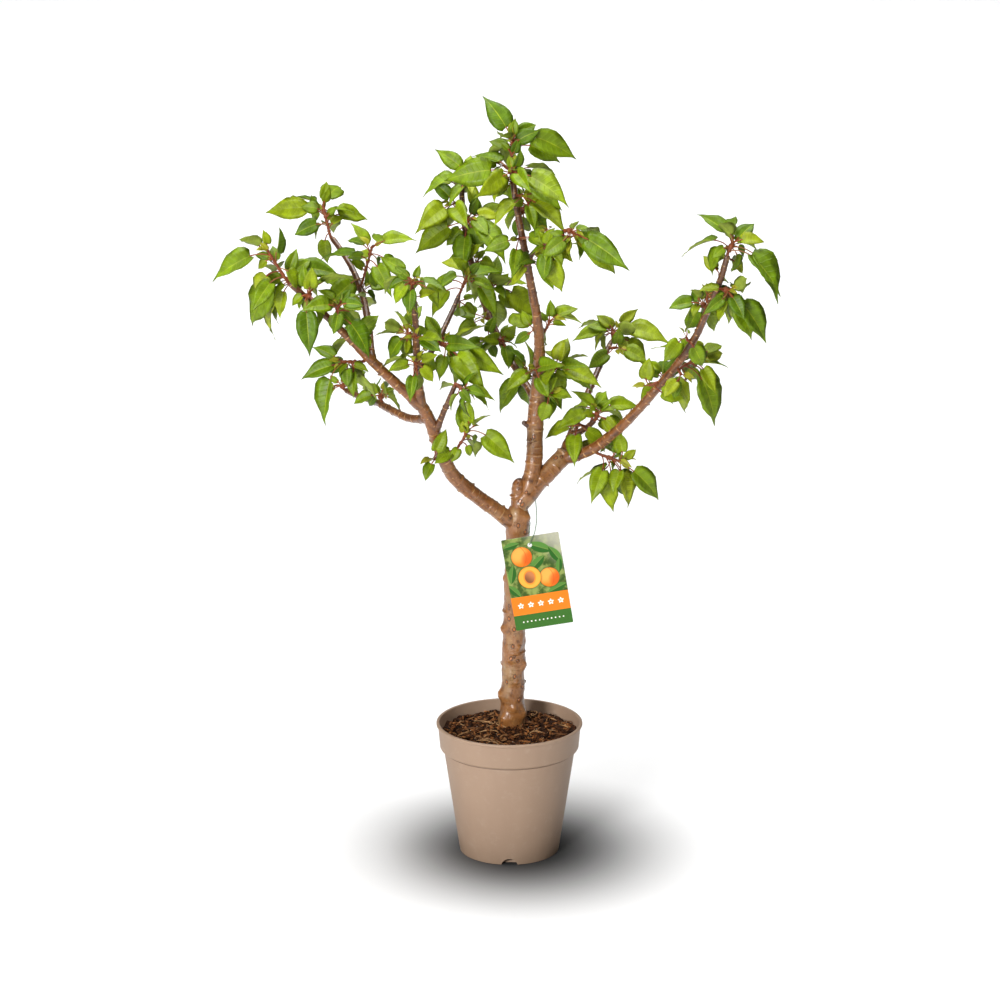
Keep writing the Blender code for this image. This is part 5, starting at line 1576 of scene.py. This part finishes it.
def stalks_of(spray):
    bm = bmesh.new()
    luck = random.Random(f"{spray.name} stalks")
    for leaf in grown_leaves[spray.name] + young_leaves[spray.name]:
        slim = 0.6 if leaf in young_leaves[spray.name] else 1.0
        faces = wrap(bm, stalk_line(leaf, shoots[spray.name]),
                     lambda share, turn: slim * stalk_radius(share, turn), STALK_SIDES)
        shade = luck.randrange(3)
        for face in faces:
            face.material_index = shade
    bmesh.ops.recalc_face_normals(bm, faces=bm.faces)
    return bm


def shoot_radius(length, found):
    """A shoot's skin: an old ringed spur at its foot, then smooth new wood with a swelling at each leaf."""
    def radius_at(share, turn):
        run = share * length
        spur = math.exp(-(run / 0.007) ** 2) * (0.45 + 0.12 * math.sin(run / 0.0011))
        swell = sum(0.30 * math.exp(-((run - spot) / 0.0014) ** 2) for spot in found)
        return (SHOOT_RADIUS + (SHOOT_TIP_RADIUS - SHOOT_RADIUS) * share) * (0.80 + spur + swell)
    return radius_at


def build_shoots():
    bm = bmesh.new()
    for spray in ALL_SPRAYS:
        shoot = shoots[spray.name]
        back = (shoot[0] - shoot[1]).normalized() * SHOOT_ROOT
        line = smooth_line([shoot[0] + back, *shoot], 0.0012)
        length = 0.0012 * (len(line) - 1)
        found = [(leaf.root - shoot[1]).length + SHOOT_ROOT + SHOOT_KNEE for leaf in grown_leaves[spray.name]]
        wrap(bm, line, shoot_radius(length, found), SHOOT_SIDES)
    bmesh.ops.recalc_face_normals(bm, faces=bm.faces)
    return bm


STALK_REDS = ((0.380, 0.095, 0.025), (0.330, 0.130, 0.035), (0.270, 0.050, 0.018))
SHOOT_RED = (0.250, 0.065, 0.022)
add_piece("stalks", gather(stalks_of(spray) for spray in ALL_SPRAYS),
          [plain_finish(f"stalk_{index}", red, 0.45) for index, red in enumerate(STALK_REDS)])
add_piece("shoots", build_shoots(), [plain_finish("shoot_bark", SHOOT_RED, 0.45, 180)])

# %% [markdown]
# Dark brown buds in tight clusters end every shoot and sit on some of the old rings. Each is a small teardrop of
# a few faces, drawn from a ball whose top is pulled to a point.

# %% Buds
BUD_SHARE = 0.34
BUD_LENGTH = (0.0026, 0.0042)
BUD_SLIM = 0.42
TIP_BUDS = 4


def add_bud(bm, place, ahead, length):
    ball = bmesh.ops.create_uvsphere(bm, u_segments=6, v_segments=5, radius=1)["verts"]
    turn = ahead.to_track_quat("Z", "Y").to_matrix()
    for vertex in ball:
        x, y, z = vertex.co
        slim = BUD_SLIM * (1 - 0.35 * z)
        vertex.co = place + turn @ Vector((x * slim, y * slim, z + 0.6)) * (length / 2)


def ring_buds(limb, luck):
    """Buds on some of a limb's old rings."""
    bm = bmesh.new()
    for name, node, place, share in seats:
        if name != limb.name or luck.random() > BUD_SHARE:
            continue
        ahead = along(plans[name][0], share)[1]
        out = ahead.orthogonal().normalized()
        out.rotate(Quaternion(ahead, luck.uniform(0, math.tau)))
        radius = between(plans[name][1], share)
        add_bud(bm, place + out * radius, (out * 0.8 + ahead).normalized(), luck.uniform(*BUD_LENGTH))
    return bm


def tip_buds(spray, luck):
    """A tight cluster at a shoot's end."""
    bm = bmesh.new()
    shoot = shoots[spray.name]
    aim = (shoot[2] - shoot[1]).normalized()
    for _ in range(TIP_BUDS):
        ahead = (aim + Vector([luck.uniform(-0.7, 0.7) for _ in range(3)])).normalized()
        add_bud(bm, shoot[2], ahead, luck.uniform(*BUD_LENGTH))
    return bm


def build_buds():
    luck = random.Random("buds")
    bm = gather([ring_buds(limb, luck) for limb in LIMBS] + [tip_buds(spray, luck) for spray in ALL_SPRAYS])
    bmesh.ops.recalc_face_normals(bm, faces=bm.faces)
    return bm


BUD_BROWN = (0.110, 0.038, 0.018)
add_piece("buds", build_buds(), [plain_finish("bud_scales", BUD_BROWN, 0.5, 600)])

# %% [markdown]
# The card hangs in front of the trunk: stiff coated paper with rounded corners and a punched hole under a white
# ring. Its face has a picture over an orange band and a green band. The picture could be an image texture, but a
# printed card this plain can be worked out: a fruit is a distance field with a light and a blush, and a leaf is
# two arcs. A Mapping node turns the object's places into the card's own flat ones.

# %% The card's shape
TAG_WIDTH = 0.086
TAG_HEIGHT = 0.142
TAG_THICKNESS = 0.0008
TAG_CENTRE = Vector((0.0412, -0.0240, 0.4300))
TAG_TILT = 9.3
TAG_CORNER = 0.0016
EYELET_RISE = 0.0575
EYELET_SIDE = -0.002
EYELET_RADIUS = 0.0024
EYELET_BEAD = 0.0006
TIE_RADIUS = 0.0008


def tag_turn():
    return Matrix.Translation(TAG_CENTRE) @ Matrix.Rotation(-math.radians(TAG_TILT), 4, "Y")


def hole_turn():
    """From a ring lying flat to the card's hole."""
    return tag_turn() @ Matrix.Translation((EYELET_SIDE, 0, EYELET_RISE)) @ Matrix.Rotation(math.pi / 2, 4, "X")


def build_card():
    bm = bmesh.new()
    bmesh.ops.create_cube(bm, size=1)
    bmesh.ops.scale(bm, vec=(TAG_WIDTH, TAG_THICKNESS, TAG_HEIGHT), verts=bm.verts)
    corners = [edge for edge in bm.edges if abs(edge.verts[0].co.y - edge.verts[1].co.y) > TAG_THICKNESS / 2]
    bmesh.ops.bevel(bm, geom=corners, offset=TAG_CORNER, offset_type="OFFSET", segments=5, profile=0.5,
                    affect="EDGES", material=-1)
    for face in bm.faces:
        face.material_index = 0 if face.normal.y < -0.5 else 1
    bmesh.ops.transform(bm, matrix=tag_turn(), verts=bm.verts)
    return bm


def build_ring():
    """The white bead round the hole, on both faces of the card."""
    bm = bmesh.new()
    bead = bmesh.ops.create_circle(bm, segments=10, radius=EYELET_BEAD)["verts"]
    bmesh.ops.rotate(bm, matrix=Matrix.Rotation(math.pi / 2, 3, "X"), verts=bead)
    bmesh.ops.translate(bm, vec=(EYELET_RADIUS + EYELET_BEAD, 0, 0), verts=bead)
    bmesh.ops.spin(bm, geom=bm.verts[:] + bm.edges[:], axis=(0, 0, 1), cent=(0, 0, 0), steps=32,
                   angle=math.tau, use_merge=True)
    bmesh.ops.remove_doubles(bm, verts=bm.verts, dist=0.00001)
    bmesh.ops.recalc_face_normals(bm, faces=bm.faces)
    bmesh.ops.transform(bm, matrix=hole_turn(), verts=bm.verts)
    return bm


# %% Motifs of the printed picture
# Middle, in millimetres from the card's, with a radius
WHOLE_FRUITS = ((-17, 41, 15.5), (19, 4, 15.0))
HALF_FRUIT = (-10, 8, 17.0)
# Middle, half its length and the degrees that it is turned by
PRINTED_LEAVES = ((12, 52, 20, -25), (33, 37, 17, -60), (-35, 16, 15, 75), (28, -14, 16, 20), (-30, 60, 13, 10),
                  (4, 28, 17, 40), (-36, -10, 14, -50), (36, 20, 12, 80))
PRINTED_LEAF_SLIM = 0.40
PICTURE_FOOT = -19.9
BAND_LINE = -48.3
BLOSSOM_ROW = -34.0
BLOSSOM_GAP = 15.0
BLOSSOM_RADIUS = 4.6
DOT_ROW = -59.5
DOT_GAP = 6.0
DOT_RADIUS = 1.1

INK_SHADE = (0.040, 0.085, 0.010)
INK_SUN = (0.250, 0.310, 0.075)
INK_SKY = (0.480, 0.460, 0.370)
INK_LEAF = (0.020, 0.110, 0.010)
INK_LEAF_SUN = (0.085, 0.225, 0.035)
INK_FRUIT = (0.800, 0.200, 0.010)
INK_FRUIT_SUN = (0.930, 0.380, 0.070)
INK_BLUSH = (0.600, 0.070, 0.006)
INK_FLESH = (0.930, 0.400, 0.050)
INK_STONE = (0.240, 0.085, 0.030)
INK_ORANGE = (0.850, 0.200, 0.010)
INK_GREEN = (0.040, 0.140, 0.018)
INK_PALE = (0.900, 0.870, 0.780)


def paint_fruit(finish, colour, x, z, fruit):
    """A whole apricot: lit from the upper left, with a blush and the seam down its side."""
    middle_x, middle_z, radius = fruit
    u, v = (x - middle_x) / radius, (z - middle_z) / radius
    out = u * u + v * v
    light = ((u + 0.35) * (u + 0.35) + (v - 0.4) * (v - 0.4)).step(1.5, 0.05)
    skin = finish.mix(light, INK_FRUIT, INK_FRUIT_SUN)
    skin = finish.mix(((u - 0.7) * (u - 0.7) + (v + 0.3) * (v + 0.3)).step(0.9, 0.1) * 0.7, skin, INK_BLUSH)
    seam = (u - 0.42 + 0.42 * v * v).size().step(0.07, 0.0)
    skin = finish.mix(seam * 0.6 + out.step(0.70, 1.0) * 0.5, skin, INK_BLUSH)
    return finish.mix(out.step(1.0, 0.95), finish.mix(out.step(1.35, 1.0) * 0.5, colour, INK_SHADE), skin)


def paint_half(finish, colour, x, z, fruit):
    """A halved apricot, with its stone in a hollow of the flesh."""
    middle_x, middle_z, radius = fruit
    u, v = (x - middle_x) / radius, (z - middle_z) / radius
    out = u * u + v * v
    stone = u * u * 5.2 + v * v * 3.4
    flesh = finish.mix(out.step(0.80, 1.0), INK_FLESH, INK_FRUIT)
    flesh = finish.mix(stone.step(1.9, 1.0) * 0.55, flesh, INK_BLUSH)
    pits = finish.mix((u + v).step(-0.5, 0.5), INK_STONE, tuple(2.2 * part for part in INK_STONE))
    flesh = finish.mix(stone.step(1.0, 0.88), flesh, pits)
    return finish.mix(out.step(1.0, 0.95), finish.mix(out.step(1.35, 1.0) * 0.5, colour, INK_SHADE), flesh)


def paint_leaf(finish, colour, x, z, spot):
    """A leaf of two arcs, one half in the sun, with a pale midrib."""
    middle_x, middle_z, half, degrees = spot
    cos, sin = math.cos(math.radians(degrees)) / half, math.sin(math.radians(degrees)) / half
    p = (x - middle_x) * cos + (z - middle_z) * sin
    q = (z - middle_z) * cos - (x - middle_x) * sin
    inside = (q.size() - PRINTED_LEAF_SLIM * (1 - p * p)).step(0.04, -0.04)
    face = finish.mix(q.step(-0.04, 0.04), INK_LEAF, INK_LEAF_SUN)
    face = finish.mix(q.size().step(0.05, 0.0) * 0.5, face, INK_SUN)
    return finish.mix(inside, colour, face)


def row_of(finish, x, gap):
    """Places across, counted from the middle of the nearest of a row's motifs."""
    return (x.math("FRACT", x / gap + 0.5) - 0.5) * gap


def card_finish():
    finish = Finish("printed_card")
    start = finish.node("ShaderNodeTexCoord", {}, {}, "Object")
    back_turn = Matrix.Rotation(math.radians(TAG_TILT), 3, "Y")
    flat = finish.node("ShaderNodeMapping", {}, {"Vector": start, "Location": back_turn @ -TAG_CENTRE,
                                                 "Rotation": (0, math.radians(TAG_TILT), 0)})
    x = 1000 * finish.node("ShaderNodeSeparateXYZ", {}, {0: flat}, "X")
    z = 1000 * finish.node("ShaderNodeSeparateXYZ", {}, {0: flat}, "Z")
    blur = finish.cloud(flat, 60, 3, 0.6)
    colour = finish.mix(blur.step(0.40, 0.62), INK_SHADE, INK_SUN)
    colour = finish.mix((x + z).step(45, 105) * 0.8, colour, INK_SKY)
    for spot in PRINTED_LEAVES:
        colour = paint_leaf(finish, colour, x, z, spot)
    for fruit in WHOLE_FRUITS:
        colour = paint_fruit(finish, colour, x, z, fruit)
    colour = paint_half(finish, colour, x, z, HALF_FRUIT)
    colour = finish.mix(z.step(PICTURE_FOOT + 0.1, PICTURE_FOOT - 0.1), colour, INK_ORANGE)
    across, down = row_of(finish, x, BLOSSOM_GAP), z - BLOSSOM_ROW
    away = (across * across + down * down).math("SQRT", across * across + down * down)
    petals = BLOSSOM_RADIUS * (0.78 + 0.22 * x.math("COSINE", 5 * x.math("ARCTAN2", across, down)))
    blossom = (away - petals).step(0.25, -0.25) * (away - 1.2).step(-0.2, 0.2)
    colour = finish.mix(blossom * x.size().step(38, 37.5), colour, INK_PALE)
    colour = finish.mix(z.step(BAND_LINE + 0.1, BAND_LINE - 0.1), colour, INK_GREEN)
    across, down = row_of(finish, x, DOT_GAP), z - DOT_ROW
    dots = (across * across + down * down).step(DOT_RADIUS ** 2 + 0.3, DOT_RADIUS ** 2 - 0.3)
    colour = finish.mix(dots * x.size().step(33.2, 33.0), colour, INK_PALE)
    finish.set(Base_Color=colour, Roughness=0.32 + 0.10 * blur, Specular_IOR_Level=0.2)
    finish.bump(finish.cloud(flat, 1500, 2), 0.00002, 0.5)
    return finish


# %% The card on the tree
CARD_BACK = (0.760, 0.720, 0.620)
RING_WHITE = (0.880, 0.880, 0.860)

card = add_piece("picture_card", build_card(), [card_finish(), plain_finish("card_back", CARD_BACK, 0.6, 900)],
                 ["tag"])
punch = bmesh.new()
bmesh.ops.create_cone(punch, cap_ends=True, segments=32, radius1=EYELET_RADIUS, radius2=EYELET_RADIUS,
                      depth=10 * TAG_THICKNESS, matrix=hole_turn())
cut_out(card, punch)
add_piece("eyelet_ring", build_ring(), [plain_finish("white_ring", RING_WHITE, 0.35)])
print("the card hangs", round(1000 * (TAG_CENTRE.z - TAG_HEIGHT / 2)), "mm above the floor at its foot")

# %% [markdown]
# The card hangs on a thin wire coated in grey-green plastic: a loop through its hole, up behind the fork and
# round the pruned stub. Two strands are twisted together, so the loop is rolled twice along one line, each
# strand half a turn ahead of the other.

# %% The twisted wire
STRAND_RADIUS = 0.00042
STRAND_OFFSET = 0.00038
STRAND_PITCH = 0.0048
STRAND_SIDES = 6
WIRE_STEP = 0.0006


def tie_points():
    """The wire's loop: through the eyelet, up behind the fork, round the stub and back."""
    low = tag_turn() @ Vector((EYELET_SIDE, 0, EYELET_RISE)) + Vector((0, 0, EYELET_RADIUS - TIE_RADIUS - GAP))
    return [
        low + Vector((0, -0.0026, 0)),
        low + Vector((0.0030, -0.0034, 0.0100)),
        Vector((0.0370, -0.0262, 0.5060)),
        Vector((0.0400, -0.0190, 0.5240)),
        Vector((0.0395, -0.0050, 0.5400)),
        Vector((0.0370, 0.0120, 0.5470)),
        Vector((0.0270, 0.0240, 0.5500)),
        Vector((0.0100, 0.0160, 0.5520)),
        Vector((0.0055, 0.0155, 0.5500)),
        Vector((0.0040, 0.0190, 0.5430)),
        Vector((0.0060, 0.0215, 0.5350)),
        Vector((0.0130, 0.0250, 0.5230)),
        Vector((0.0245, 0.0195, 0.5180)),
        Vector((0.0302, 0.0065, 0.5130)),
        Vector((0.0300, -0.0060, 0.5090)),
        Vector((0.0290, -0.0140, 0.5000)),
        low + Vector((0, 0.0060, 0.0030)),
        low + Vector((0, 0.0024, 0)),
    ]


def strand(line, start_turn):
    """A line that winds round another."""
    side = (line[1] - line[0]).orthogonal()
    wound = []
    for index, place in enumerate(line):
        ahead = (line[min(index + 1, len(line) - 1)] - line[max(index - 1, 0)]).normalized()
        side = (side - ahead * side.dot(ahead)).normalized()
        turn = start_turn + math.tau * index * WIRE_STEP / STRAND_PITCH
        wound.append(place + (side * math.cos(turn) + ahead.cross(side) * math.sin(turn)) * STRAND_OFFSET)
    return wound


def build_wire():
    bm = bmesh.new()
    points = tie_points()
    line = smooth_line([*points, points[0]], WIRE_STEP)
    for start_turn in (0, math.pi):
        wrap(bm, strand(line, start_turn), lambda share, turn: STRAND_RADIUS, STRAND_SIDES)
    bmesh.ops.recalc_face_normals(bm, faces=bm.faces)
    return bm


WIRE_GREEN = (0.155, 0.250, 0.150)
add_piece("twisted_wire", build_wire(), [plain_finish("wire_coat", WIRE_GREEN, 0.35, 500)], ["tag_tie"])
